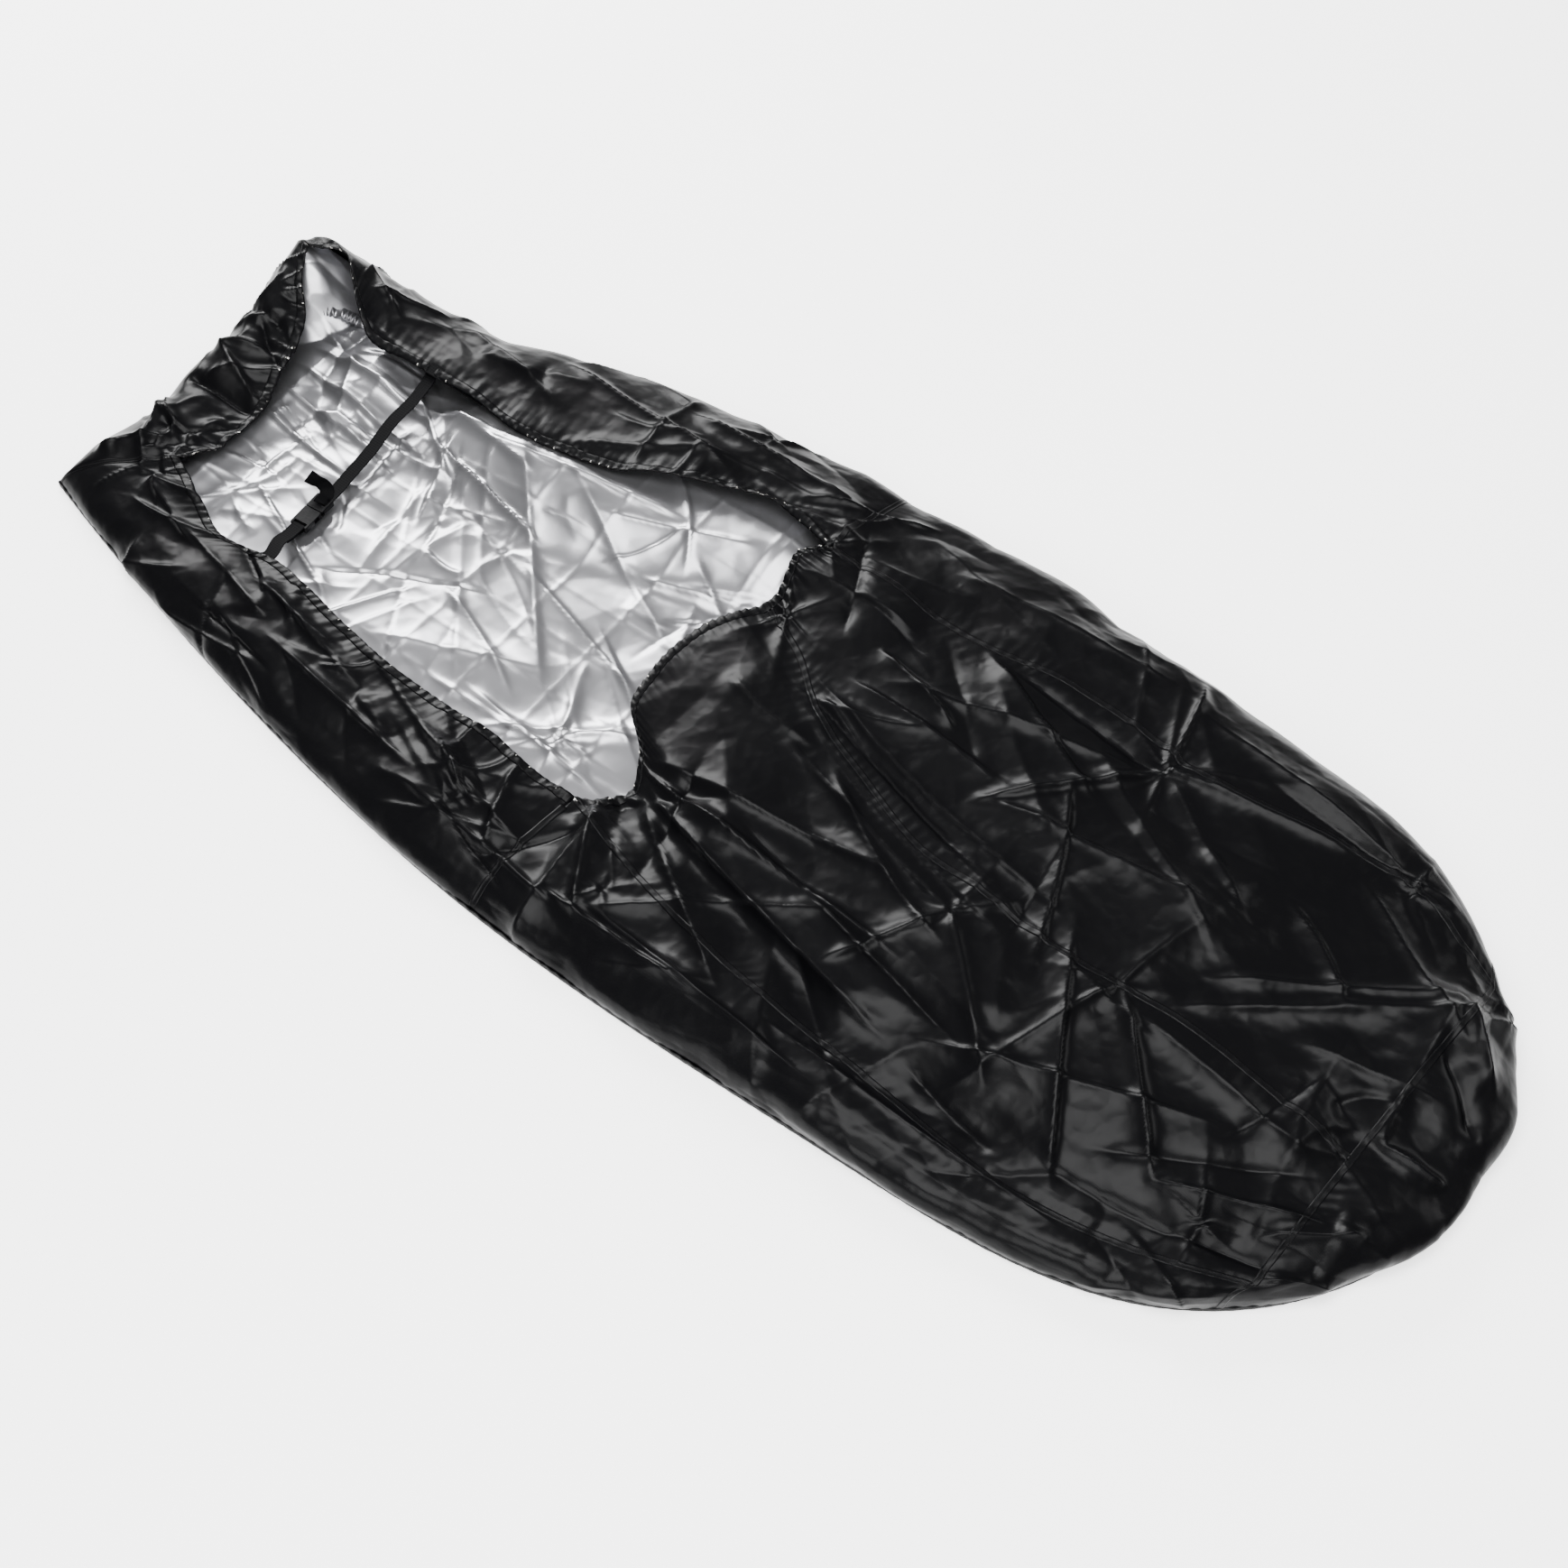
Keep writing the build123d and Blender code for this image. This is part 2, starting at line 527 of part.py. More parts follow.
# Long strap: from the left tab down to the slack in front of the plug
slack = 4.0
long_strap = webbing_along([
    (left_end - WEBBING_WIDTH / 3, strap_under_tab),
    (left_end + WEBBING_WIDTH / 2, strap_under_tab),
    (0.72 * left_end, 0.5 * (strap_under_tab + BUCKLE_Z)),
    (0.45 * left_end, BUCKLE_Z + 1),
    (-PLUG_BACK - UNCLIP_TRAVEL - slack, BUCKLE_Z - loop),
])
finish(long_strap, "long_strap")

# Strap end: under both bars of the plug, back over them, and out as a loose tail
front_bar = base_back - SLOT - BAR / 2
strap_end = webbing_along([
    (-PLUG_BACK - slack / 2, BUCKLE_Z - loop),
    (front_bar + loop, BUCKLE_Z - loop),
    (front_bar + loop, BUCKLE_Z + loop),
    (-PLUG_BACK - slack, BUCKLE_Z + loop),
    (-PLUG_BACK - 0.5 * TAIL_LENGTH, BUCKLE_Z + loop + 0.6 * TAIL_RISE),
    (-PLUG_BACK - 0.9 * TAIL_LENGTH, BUCKLE_Z + loop + TAIL_RISE),
])
finish(strap_end, "strap_end")

# Bartacks: short dense rows of stitches on the hem, above each tab
with BuildPart() as strap_bartacks:
    with BuildSketch(Plane.XY.offset(HEM_TOP)):
        for x, y in ((right_tab_x, right_hem_middle), (left_tab_x, OPENING_LEFT_HEAD + HEM_WIDTH / 2)):
            half_tab = WEBBING_WIDTH / 2 - BARTACK_WIDTH
            with Locations((x - half_tab, y), (x + half_tab, y)):
                Rectangle(BARTACK_WIDTH, HEM_WIDTH - 2 * HEM_WALL)
    extrude(amount=BARTACK_RISE)
finish(strap_bartacks.part, "strap_bartacks")
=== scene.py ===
"""Bivy sack lying open on the ground: crumpled black panels, a silver-coated floor sheet, and a buckled strap."""
import json
import logging
import math
from dataclasses import dataclass, field
from enum import Enum

import bmesh
import bpy
import numpy as np
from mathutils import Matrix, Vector


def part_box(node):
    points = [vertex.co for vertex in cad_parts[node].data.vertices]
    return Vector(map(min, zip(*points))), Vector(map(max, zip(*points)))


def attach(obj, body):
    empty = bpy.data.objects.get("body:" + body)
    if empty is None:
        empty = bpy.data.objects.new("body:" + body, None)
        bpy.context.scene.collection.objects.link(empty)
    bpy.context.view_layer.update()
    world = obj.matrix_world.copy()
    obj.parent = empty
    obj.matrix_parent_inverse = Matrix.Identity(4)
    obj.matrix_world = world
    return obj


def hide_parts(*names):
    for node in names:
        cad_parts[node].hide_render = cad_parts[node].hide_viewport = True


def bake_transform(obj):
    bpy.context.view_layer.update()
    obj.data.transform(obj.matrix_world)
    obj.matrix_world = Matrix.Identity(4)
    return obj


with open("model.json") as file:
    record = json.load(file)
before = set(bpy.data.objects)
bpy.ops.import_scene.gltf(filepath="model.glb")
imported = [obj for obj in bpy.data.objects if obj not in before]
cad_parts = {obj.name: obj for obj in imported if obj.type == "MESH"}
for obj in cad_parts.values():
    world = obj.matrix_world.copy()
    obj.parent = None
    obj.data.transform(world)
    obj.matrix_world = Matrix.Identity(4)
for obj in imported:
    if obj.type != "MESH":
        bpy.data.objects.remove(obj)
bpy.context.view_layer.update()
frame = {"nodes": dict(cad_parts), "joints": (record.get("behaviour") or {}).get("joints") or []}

logging.basicConfig(level=logging.INFO, format="%(message)s")
LOG = logging.getLogger("bivy_sack")
Array = np.ndarray
MM = 0.001
SACK = "sack"           # the CAD body that all fabric rides on
PLUG = "plug"           # the buckle's loose half
SOCKET_MOUTH = (-0.714, -0.100)    # plan place of the buckle socket's open end
PUCKER = 0.3 * MM       # height of the puckers along a seam
PUCKER_REACH = 0.018    # how far they run into the cloth
GATHER_REACH = 0.022    # the same of the gathers at a hem
CROSS_SEAM_RIGHT = np.array((-0.106, -0.247, 0.058))
CROSS_SEAM_LEFT = np.array((-0.100, 0.258, 0.070))
HEAD_RIGHT_HEM = np.array((-0.903, -0.161, 0.045))
EAR_PEAK = np.array((-1.010, 0.203, 0.112))
FOOT_SEAM_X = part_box("foot_end_seam")[0].x + 6 * MM


# ---------------------------------------------------------------------------------------------------
# Lines and fields
# ---------------------------------------------------------------------------------------------------
def run_of(line: Array) -> Array:
    """Distance along a line at each of its points."""
    return np.concatenate(([0.0], np.cumsum(np.linalg.norm(np.diff(line, axis=0), axis=1))))


def unit(vectors: Array) -> Array:
    """Vectors scaled to a length of one."""
    return vectors / np.maximum(np.linalg.norm(vectors, axis=-1, keepdims=True), 1e-9)


def gathers(run: Array, spacing: float, drift: float, beat: float) -> Array:
    """Height of uneven gathers, from -1 to 1: a sine along the run whose phase drifts by a slower sine.

    Args:
        run: Distance along the edge, in metres.
        spacing: From one gather to the next, in metres.
        drift: How far the phase drifts, in radians.
        beat: How fast it drifts, in radians for each metre.

    Returns:
        One height for each distance.
    """
    return np.sin(2 * np.pi * run / spacing + drift * np.sin(run * beat))


def eased(share: Array) -> Array:
    """A soft step from 0 to 1: three squares less two cubes of the share, kept between 0 and 1."""
    share = np.clip(share, 0, 1)
    return share**2 * (3 - 2 * share)


def resampled(line: Array, count: int) -> Array:
    """Points at even distances along a polyline: run lengths are added up and read back at even steps.

    Args:
        line: The polyline, one point a row.
        count: How many points come back.

    Returns:
        The evenly spaced points.
    """
    run = run_of(line)
    at = np.linspace(0.0, run[-1], count)
    return np.column_stack([np.interp(at, run, line[:, k]) for k in range(line.shape[1])])


def smooth_line(knots: Array, count: int) -> Array:
    """A smooth line through knots: each span is a cubic whose end slopes are the knots' mean slopes.

    Args:
        knots: Points that the line goes through.
        count: How many evenly spaced points come back.

    Returns:
        The points of the line.
    """
    knots = np.asarray(knots, float)
    run = run_of(knots)
    slopes = np.gradient(knots, run, axis=0)
    t = np.linspace(0.0, run[-1], 24 * len(knots))
    i = np.clip(np.searchsorted(run, t, side="right") - 1, 0, len(run) - 2)
    h = (run[i + 1] - run[i])[:, None]
    f = ((t - run[i])[:, None]) / h
    dense = ((2 * f**3 - 3 * f**2 + 1) * knots[i] + (f**3 - 2 * f**2 + f) * h * slopes[i]
             + (3 * f**2 - 2 * f**3) * knots[i + 1] + (f**3 - f**2) * h * slopes[i + 1])
    return resampled(dense, count)


def hashed(i: Array, j: Array, seed: float) -> Array:
    """A repeatable value from -1 to 1 for each lattice place: the fraction left by a large sine."""
    n = np.sin(i * 127.1 + j * 311.7 + seed * 74.7) * 43758.5453
    return 2.0 * (n - np.floor(n)) - 1.0


def flats(q: Array, size: float, seed: float) -> Array:
    """Height of a sheet folded into flat triangles.

    The plane is skewed so that square cells become pairs of even triangles, each corner gets a
    repeatable height, and inside a triangle the height is the straight mix of its three corners.

    Args:
        q: Places on the flat cloth, in metres.
        size: Side of a triangle, in metres.
        seed: Picks the pattern.

    Returns:
        Heights from -1 to 1.
    """
    x, y = q[..., 0] / size, q[..., 1] / size
    skew = 0.3660254 * (x + y)
    x, y = x + skew, y + skew
    i, j = np.floor(x), np.floor(y)
    fx, fy = x - i, y - j
    below = fx > fy
    a, c = hashed(i, j, seed), hashed(i + 1, j + 1, seed)
    b = np.where(below, hashed(i + 1, j, seed), hashed(i, j + 1, seed))
    return np.where(below, a * (1 - fx) + b * (fx - fy) + c * fy, a * (1 - fy) + b * (fy - fx) + c * fx)


def crumple(q: Array, size: float, seed: float, turn: float = 0.0, stretch: float = 1.0) -> Array:
    """Folded triangles of uneven shape: the places are turned, stretched and shifted by coarser flats first.

    Args:
        q: Places on the flat cloth, in metres.
        size: Mean side of a facet, in metres.
        seed: Picks the pattern.
        turn: Direction of the long facets, in degrees.
        stretch: How much longer than wide the facets are.

    Returns:
        Heights from about -1 to 1.
    """
    c, s = math.cos(math.radians(turn)), math.sin(math.radians(turn))
    p = np.stack([(c * q[..., 0] + s * q[..., 1]) / stretch, -s * q[..., 0] + c * q[..., 1]], -1)
    shift = np.stack([flats(p, 1.9 * size, seed + 11.3), flats(p, 1.6 * size, seed + 5.7)], -1)
    return flats(p + 0.42 * size * shift, size, seed)


def swell(q: Array, size: float, seed: float) -> Array:
    """Soft uneven rise and fall: sines of four directions, whose phases come from the seed.

    Args:
        q: Places on the cloth, in metres.
        size: Length of a wave, in metres.
        seed: Picks the phases.

    Returns:
        Heights from -1 to 1.
    """
    total = np.zeros(q.shape[:-1])
    for k in range(4):
        a = seed * 1.7 + k * 0.83
        total += np.sin((math.cos(a) * q[..., 0] + math.sin(a) * q[..., 1]) * 2 * math.pi / size * (0.8 + 0.17 * k)
                        + seed * 3.1 * (k + 1))
    return total / 4


@dataclass(frozen=True)
class Fold:
    """One crease or soft fold of the fabric, along a straight line.

    Its height falls off exponentially to both sides, so that its top is a crisp ridge, and towards
    its two ends.
    """

    start: tuple[float, float]
    end: tuple[float, float]
    height: float                      # millimetres, negative for a valley
    width: float                       # millimetres, to about a third of the height
    lean: float = 1.0                  # how much wider the left side is than the right one
    flat: float = 0.0                  # half width of a flat top, as of a pressed pleat, millimetres
    bow: float = 0.0                   # how far its middle is bent to the left, millimetres

    def rise(self, q: Array) -> Array:
        """Height that the fold adds.

        Args:
            q: Places on the flat cloth, in metres.

        Returns:
            Heights, in metres.
        """
        a, b = np.array(self.start), np.array(self.end)
        along = b - a
        length = np.linalg.norm(along)
        way = along / length
        rel = q - a
        t = (rel @ way) / length
        side = rel @ np.array((-way[1], way[0])) - self.bow * MM * 4 * t * (1 - t)
        width = self.width * MM * np.where(side > 0, self.lean, 1.0)
        side = np.maximum(np.abs(side) - self.flat * MM, 0)
        ends = eased(np.minimum(t, 1 - t) / 0.28 + 0.25) * ((t > -0.07) & (t < 1.07))
        return self.height * MM * np.exp(-np.abs(side) / width) * ends


@dataclass(frozen=True)
class Pinch:
    """Creases that run out from one gathered point, like an uneven star.

    Each arm is a ridge that is narrow at the point and widens outwards, with its own direction,
    length and height from a seeded draw, and the point itself is drawn in.
    """

    x: float
    y: float
    reach: float                       # millimetres
    height: float                      # millimetres
    arms: int = 7
    seed: int = 1

    def rise(self, q: Array) -> Array:
        """Height that the star adds.

        Args:
            q: Places on the flat cloth, in metres.

        Returns:
            Heights, in metres.
        """
        draw = np.random.default_rng(self.seed)
        dx, dy = q[..., 0] - self.x, q[..., 1] - self.y
        r = np.hypot(dx, dy)
        total = np.zeros(r.shape)
        for k in range(self.arms):
            theta = 2 * math.pi * (k + draw.uniform(-0.36, 0.36)) / self.arms + self.seed
            reach = self.reach * MM * draw.uniform(0.6, 1.7)
            high = self.height * MM * draw.uniform(0.45, 1.1)
            along = dx * math.cos(theta) + dy * math.sin(theta)
            side = dy * math.cos(theta) - dx * math.sin(theta)
            width = (1.5 + draw.uniform(1.0, 3.0) * np.where(side > 0, 1.0, draw.uniform(0.5, 2.0))) * MM
            arm = np.exp(-np.abs(side) / (width + 0.10 * np.abs(along)))
            total += high * arm * np.clip(along / (7 * MM), 0, 1) * np.exp(-(r / reach) ** 1.5)
        return total - 0.5 * self.height * MM * np.exp(-r / (0.3 * self.reach * MM))


def scattered(count: int, seed: int, box: tuple[float, float, float, float], length: tuple[float, float],
              height: tuple[float, float], width: tuple[float, float], main_way: float, spread: float) -> list[Fold]:
    """Many small creases at uneven places, mostly along one direction, from a seeded draw.

    Args:
        count: How many.
        seed: Picks the draw.
        box: Lowest and highest x, then lowest and highest y, of their middles, in metres.
        length: Shortest and longest, in metres.
        height: Lowest and highest, in millimetres; a third of them are valleys.
        width: Narrowest and widest, in millimetres.
        main_way: The direction that most follow, in degrees.
        spread: How far from it they turn, in degrees.

    Returns:
        The folds.
    """
    draw = np.random.default_rng(seed)
    folds = []
    for _ in range(count):
        middle = np.array((draw.uniform(*box[:2]), draw.uniform(*box[2:])))
        angle = math.radians(main_way + draw.normal(0, spread) + (90 if draw.random() < 0.22 else 0))
        half = np.array((math.cos(angle), math.sin(angle))) * draw.uniform(*length) / 2
        high = draw.uniform(*height) * (-0.8 if draw.random() < 0.33 else 1.0)
        folds.append(Fold(tuple(middle - half), tuple(middle + half), high, draw.uniform(*width),
                          draw.choice((0.25, 0.5, 2.0, 4.0)), 0.0, draw.normal(0, 7)))
    return folds


# ---------------------------------------------------------------------------------------------------
# Meshes
# ---------------------------------------------------------------------------------------------------
def grid_faces(rows: int, columns: int, closed_rows: bool = False) -> Array:
    """Four-cornered faces of a grid whose points are stored row after row.

    Args:
        rows: Points along the first direction.
        columns: Points along the second.
        closed_rows: True where the last column joins the first, as round a tube.

    Returns:
        Point numbers, four to a face.
    """
    i, j = np.meshgrid(np.arange(rows - 1), np.arange(columns if closed_rows else columns - 1), indexing="ij")
    k = (j + 1) % columns
    return np.stack([i * columns + j, (i + 1) * columns + j, (i + 1) * columns + k, i * columns + k], -1).reshape(-1, 4)


def mesh_piece(name: str, points: Array, faces: Array | list, uv: Array | None = None,
               merge: float = 0.0) -> bpy.types.Object:
    """A smooth-shaded mesh object at the origin.

    Args:
        name: Piece name.
        points: Corners, in metres.
        faces: Point numbers of each face.
        uv: Flat place of each point on the cloth, in metres, or None.
        merge: Points nearer than this are made one, in metres.

    Returns:
        The new object.
    """
    mesh = bpy.data.meshes.new(name)
    mesh.from_pydata(points.reshape(-1, 3).tolist(), [], faces if isinstance(faces, list) else faces.tolist())
    if uv is not None:
        layer = mesh.uv_layers.new(name="cloth")
        corner = np.empty(len(mesh.loops), np.int32)
        mesh.loops.foreach_get("vertex_index", corner)
        layer.data.foreach_set("uv", uv.reshape(-1, 2)[corner].astype(np.float32).ravel())
    if merge:
        work = bmesh.new()
        work.from_mesh(mesh)
        bmesh.ops.remove_doubles(work, verts=work.verts, dist=merge)
        work.to_mesh(mesh)
        work.free()
    mesh.polygons.foreach_set("use_smooth", np.ones(len(mesh.polygons), bool))
    mesh.update()
    piece = bpy.data.objects.new(name, mesh)
    bpy.context.scene.collection.objects.link(piece)
    return piece


def grid_normals(grid: Array) -> Array:
    """Unit normals of a grid: the cross product of its two directions of travel."""
    n = np.cross(np.gradient(grid, axis=0), np.gradient(grid, axis=1))
    return n / np.maximum(np.linalg.norm(n, axis=-1, keepdims=True), 1e-12)


def sweep(line: Array, side: Array, up: Array, profile: Array) -> Array:
    """Carries a flat closed profile along a line: point = line + side x first + up x second.

    Args:
        line: Points of the path.
        side: Unit direction of the profile's first axis at each point.
        up: Unit direction of its second axis.
        profile: The profile's corners, in metres.

    Returns:
        A grid with one row for each path point.
    """
    return line[:, None] + side[:, None] * profile[None, :, :1] + up[:, None] * profile[None, :, 1:]


def closed_sweep(name: str, rings: Array) -> bpy.types.Object:
    """A tube from rings of points, with both ends closed by a face.

    Args:
        name: Piece name.
        rings: One ring of points for each place along it.

    Returns:
        The new object.
    """
    rows, columns = rings.shape[:2]
    faces = grid_faces(rows, columns, closed_rows=True).tolist()
    faces += [list(range(columns)), list(range(rows * columns - 1, (rows - 1) * columns - 1, -1))]
    piece = mesh_piece(name, rings, faces)
    work = bmesh.new()
    work.from_mesh(piece.data)
    bmesh.ops.recalc_face_normals(work, faces=work.faces)
    work.to_mesh(piece.data)
    work.free()
    return piece


# ---------------------------------------------------------------------------------------------------
# Materials
# ---------------------------------------------------------------------------------------------------
def linear(colour: str) -> tuple[float, float, float, float]:
    """An sRGB hex colour in linear light, with full cover."""
    values = [int(colour[k:k + 2], 16) / 255 for k in (1, 3, 5)]
    return (*[v / 12.92 if v <= 0.04045 else ((v + 0.055) / 1.055) ** 2.4 for v in values], 1.0)


def add(tree: bpy.types.NodeTree, kind: str, settings: dict | None = None, links: dict | None = None) -> bpy.types.Node:
    """Adds a node to a tree.

    Args:
        tree: The node tree.
        kind: Node type, such as ShaderNodeBump.
        settings: Values by name: a property of the node, or an input by its name or number.
        links: Output sockets by the name or number of the input that they feed.

    Returns:
        The new node.
    """
    node = tree.nodes.new(kind)
    for name, value in (settings or {}).items():
        if isinstance(name, str) and hasattr(node, name):
            setattr(node, name, value)
        else:
            node.inputs[name].default_value = value
    for name, socket in (links or {}).items():
        tree.links.new(socket, node.inputs[name])
    return node


class Edge(Enum):
    """The four edges of a panel's grid of points."""

    RIM = "floor edge"
    TOP = "top edge"
    START = "head end"
    END = "foot end"


@dataclass(frozen=True)
class Finish:
    """A coated or woven material, with a weave, soft creases and uneven gloss.

    The weave is drawn coarser than real thread, which is about 0.2 mm, so that it shows.
    """

    name: str
    colour: str
    shade: str                         # the darker colour it drifts to
    roughness: float
    metallic: float = 0.0
    thread: float = 0.9                # spacing of the weave, millimetres
    weave: float = 0.0                 # strength of its bump
    crease: float = 0.0                # strength of the small creases
    crease_size: float = 18.0          # millimetres
    gloss_drift: float = 0.06
    specular: float = 0.5

    def made(self) -> bpy.types.Material:
        """Builds the node tree and returns the material."""
        material = bpy.data.materials.new(self.name)
        material.use_nodes = True
        tree = material.node_tree
        tree.nodes.clear()
        place = add(tree, "ShaderNodeTexCoord").outputs["Object"]
        drift = add(tree, "ShaderNodeTexNoise", {"Scale": 9.0, "Detail": 4.0}, {"Vector": place})
        colour = add(tree, "ShaderNodeMix", {"data_type": "RGBA", 6: linear(self.colour), 7: linear(self.shade)},
                     {"Factor": drift.outputs["Fac"]})
        rough = add(tree, "ShaderNodeMapRange", {"To Min": self.roughness - self.gloss_drift,
                                                 "To Max": self.roughness + self.gloss_drift},
                    {"Value": drift.outputs["Fac"]})
        shader = add(tree, "ShaderNodeBsdfPrincipled", {
            "Metallic": self.metallic, "Specular IOR Level": self.specular},
            {"Base Color": colour.outputs["Result"], "Roughness": rough.outputs["Result"]})
        normal = None
        if self.crease:
            bent = add(tree, "ShaderNodeTexNoise", {"Scale": 0.6 * 1000 / self.crease_size, "Detail": 2.0},
                       {"Vector": place})
            moved = add(tree, "ShaderNodeVectorMath", {"operation": "MULTIPLY_ADD", 1: (0.012, 0.012, 0.012)},
                        {0: bent.outputs["Color"], 2: place})
            cells = add(tree, "ShaderNodeTexVoronoi", {"feature": "SMOOTH_F1", "Scale": 1000 / self.crease_size,
                                                       "Smoothness": 0.35},
                        {"Vector": moved.outputs["Vector"]})
            normal = add(tree, "ShaderNodeBump", {"Strength": self.crease, "Distance": 0.004},
                         {"Height": cells.outputs["Distance"]}).outputs["Normal"]
        if self.weave:
            waves = [add(tree, "ShaderNodeTexWave", {"Scale": 1000 / self.thread / 20 * math.pi, "bands_direction": way,
                                                     "Distortion": 0.3}, {"Vector": place}) for way in ("X", "Y")]
            cross = add(tree, "ShaderNodeMath", {"operation": "ADD"},
                        {0: waves[0].outputs["Fac"], 1: waves[1].outputs["Fac"]})
            threads = add(tree, "ShaderNodeBump", {"Strength": self.weave, "Distance": 0.0002},
                          {"Height": cross.outputs["Value"]})
            if normal is not None:
                tree.links.new(normal, threads.inputs["Normal"])
            normal = threads.outputs["Normal"]
        if normal is not None:
            tree.links.new(normal, shader.inputs["Normal"])
        add(tree, "ShaderNodeOutputMaterial", {}, {"Surface": shader.outputs["BSDF"]})
        return material


# Plain-weave polyester taffeta with a thin black coating: satin, near black, glossy along its creases.
BLACK_TAFFETA = Finish("black_coated_taffeta", "#060607", "#040405", 0.31, thread=1.1, weave=0.08, crease=0.14,
                       crease_size=17.0, gloss_drift=0.02, specular=0.065)
# The same cloth with an aluminium coating on its inner face: a soft mirror of the sky.
ALUMINISED_TAFFETA = Finish("aluminised_taffeta", "#949497", "#88888b", 0.31, metallic=0.92, thread=1.1, weave=0.06,
                            crease=0.06, crease_size=26.0, gloss_drift=0.03)
# The black taffeta again, folded over on itself and sewn flat, so that its weave shows more.
SEAM_TAFFETA = Finish("felled_seam_taffeta", "#060607", "#040405", 0.36, thread=1.1, weave=0.2, specular=0.07)
# Polyester grosgrain, woven with a cross rib: matt black.
BINDING_TAPE = Finish("grosgrain_binding_tape", "#070708", "#040405", 0.6, thread=1.6, weave=0.5, specular=0.14)
# The black taffeta gathered over an elastic, with small puckers all along it.
HEM_TAFFETA = Finish("gathered_hem_taffeta", "#060607", "#040405", 0.34, thread=1.1, weave=0.15, crease=0.12,
                     crease_size=9.0, specular=0.065)
# Rubber cores braided over with off-white polyester: matt and pale.
RUBBER_ELASTIC = Finish("braided_elastic", "#e4e2dc", "#cfccc5", 0.7, thread=1.2, weave=0.8)
# Black nylon woven flat and thick: matt, with a coarse weave.
NYLON_WEBBING = Finish("nylon_webbing", "#040405", "#030304", 0.74, thread=1.8, weave=0.6, specular=0.05)
# Twisted black polyester thread, with a slight shine.
POLYESTER_THREAD = Finish("polyester_thread", "#08080a", "#050506", 0.5, thread=0.8, weave=0.4, specular=0.15)
# Black acetal, injection moulded with a fine satin texture.
ACETAL = Finish("moulded_acetal", "#040405", "#030304", 0.42, specular=0.06, crease=0.05, crease_size=3.0)


# ---------------------------------------------------------------------------------------------------
# The sack's shape
# ---------------------------------------------------------------------------------------------------
def side_profile(v: Array) -> tuple[Array, Array]:
    """Share of the way inwards and share of the way up, from the floor edge (0) to the top edge (1).

    Inwards goes as a power of v and upwards as one less a power of what is left, so that the cloth
    starts almost upright and then rolls over flat.
    """
    return v**1.75, 1 - (1 - v) ** 2.3


class Rim:
    """The sack's floor edge, which every side panel is sewn to, read off the frame's floor panel."""

    def __init__(self) -> None:
        """Sorts the floor panel's corner points by their direction from the middle."""
        mesh = frame["nodes"]["floor_panel"].data
        co = np.empty(len(mesh.vertices) * 3, np.float32)
        mesh.vertices.foreach_get("co", co)
        plan = np.unique(np.round(co.reshape(-1, 3)[:, :2].astype(float), 5), axis=0)
        near = plan[np.argmin(np.hypot(plan[:, 0] + 1.04, plan[:, 1] + 0.276))]
        self.zero = math.atan2(near[1], near[0])
        angle = (np.arctan2(plan[:, 1], plan[:, 0]) - self.zero) % (2 * math.pi)
        order = np.argsort(angle)
        self.plan, self.angle = plan[order], angle[order]

    def part(self, start: tuple[float, float], end: tuple[float, float], count: int, height: float = 0.003) -> Array:
        """The rim from nearest start to nearest end, the way round by the foot.

        Args:
            start: Plan place that it starts beside.
            end: Plan place that it ends beside.
            count: How many points come back.
            height: Height given to the points, in metres.

        Returns:
            The points, in three dimensions.
        """
        a, b = [(math.atan2(p[1], p[0]) - self.zero) % (2 * math.pi) for p in (start, end)]
        a, b = (0.0 if a > 6.27 else a), (2 * math.pi if b < 0.01 else b)
        angles = np.linspace(a, b, 900)
        full = np.concatenate((self.angle, [2 * math.pi]))
        loop = np.vstack((self.plan, self.plan[:1]))
        line = np.column_stack([np.interp(angles, full, loop[:, k]) for k in (0, 1)])
        return np.column_stack((resampled(line, count), np.full(count, height)))


RIM = Rim()
CORNER_RIGHT = tuple(RIM.plan[0])
CORNER_LEFT = (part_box("head_end_panel")[0].x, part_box("head_end_panel")[1].y)

# The hem's route round the opening, in metres: the cloth sags between its stiff seams.
HEM_RIGHT = [HEAD_RIGHT_HEM, (-0.83, -0.189, 0.042), (-0.76, -0.217, 0.040), (-0.725, -0.213, 0.042),
             (-0.68, -0.206, 0.045), (-0.614, -0.211, 0.045), (-0.533, -0.225, 0.045), (-0.423, -0.237, 0.045),
             (-0.323, -0.240, 0.048), (-0.246, -0.238, 0.052), (-0.197, -0.246, 0.055), (-0.148, -0.250, 0.058),
             CROSS_SEAM_RIGHT]
HEM_FOOT = [CROSS_SEAM_RIGHT, (-0.076, -0.222, 0.052), (-0.064, -0.186, 0.050), (-0.085, -0.146, 0.062),
            (-0.141, -0.093, 0.070), (-0.150, -0.044, 0.070), (-0.154, 0.011, 0.070), (-0.148, 0.063, 0.075),
            (-0.127, 0.112, 0.075), (-0.108, 0.151, 0.072), (-0.117, 0.190, 0.070), (-0.128, 0.232, 0.070),
            CROSS_SEAM_LEFT]
HEM_LEFT = [EAR_PEAK, (-0.956, 0.227, 0.105), (-0.928, 0.206, 0.098), (-0.889, 0.177, 0.085),
            (-0.854, 0.158, 0.070), (-0.786, 0.161, 0.060), (-0.720, 0.166, 0.058), (-0.654, 0.169, 0.058),
            (-0.599, 0.166, 0.058), (-0.545, 0.170, 0.058), (-0.481, 0.182, 0.058), (-0.426, 0.195, 0.058),
            (-0.355, 0.226, 0.058), (-0.285, 0.257, 0.058), (-0.209, 0.277, 0.060), (-0.150, 0.272, 0.066),
            CROSS_SEAM_LEFT]
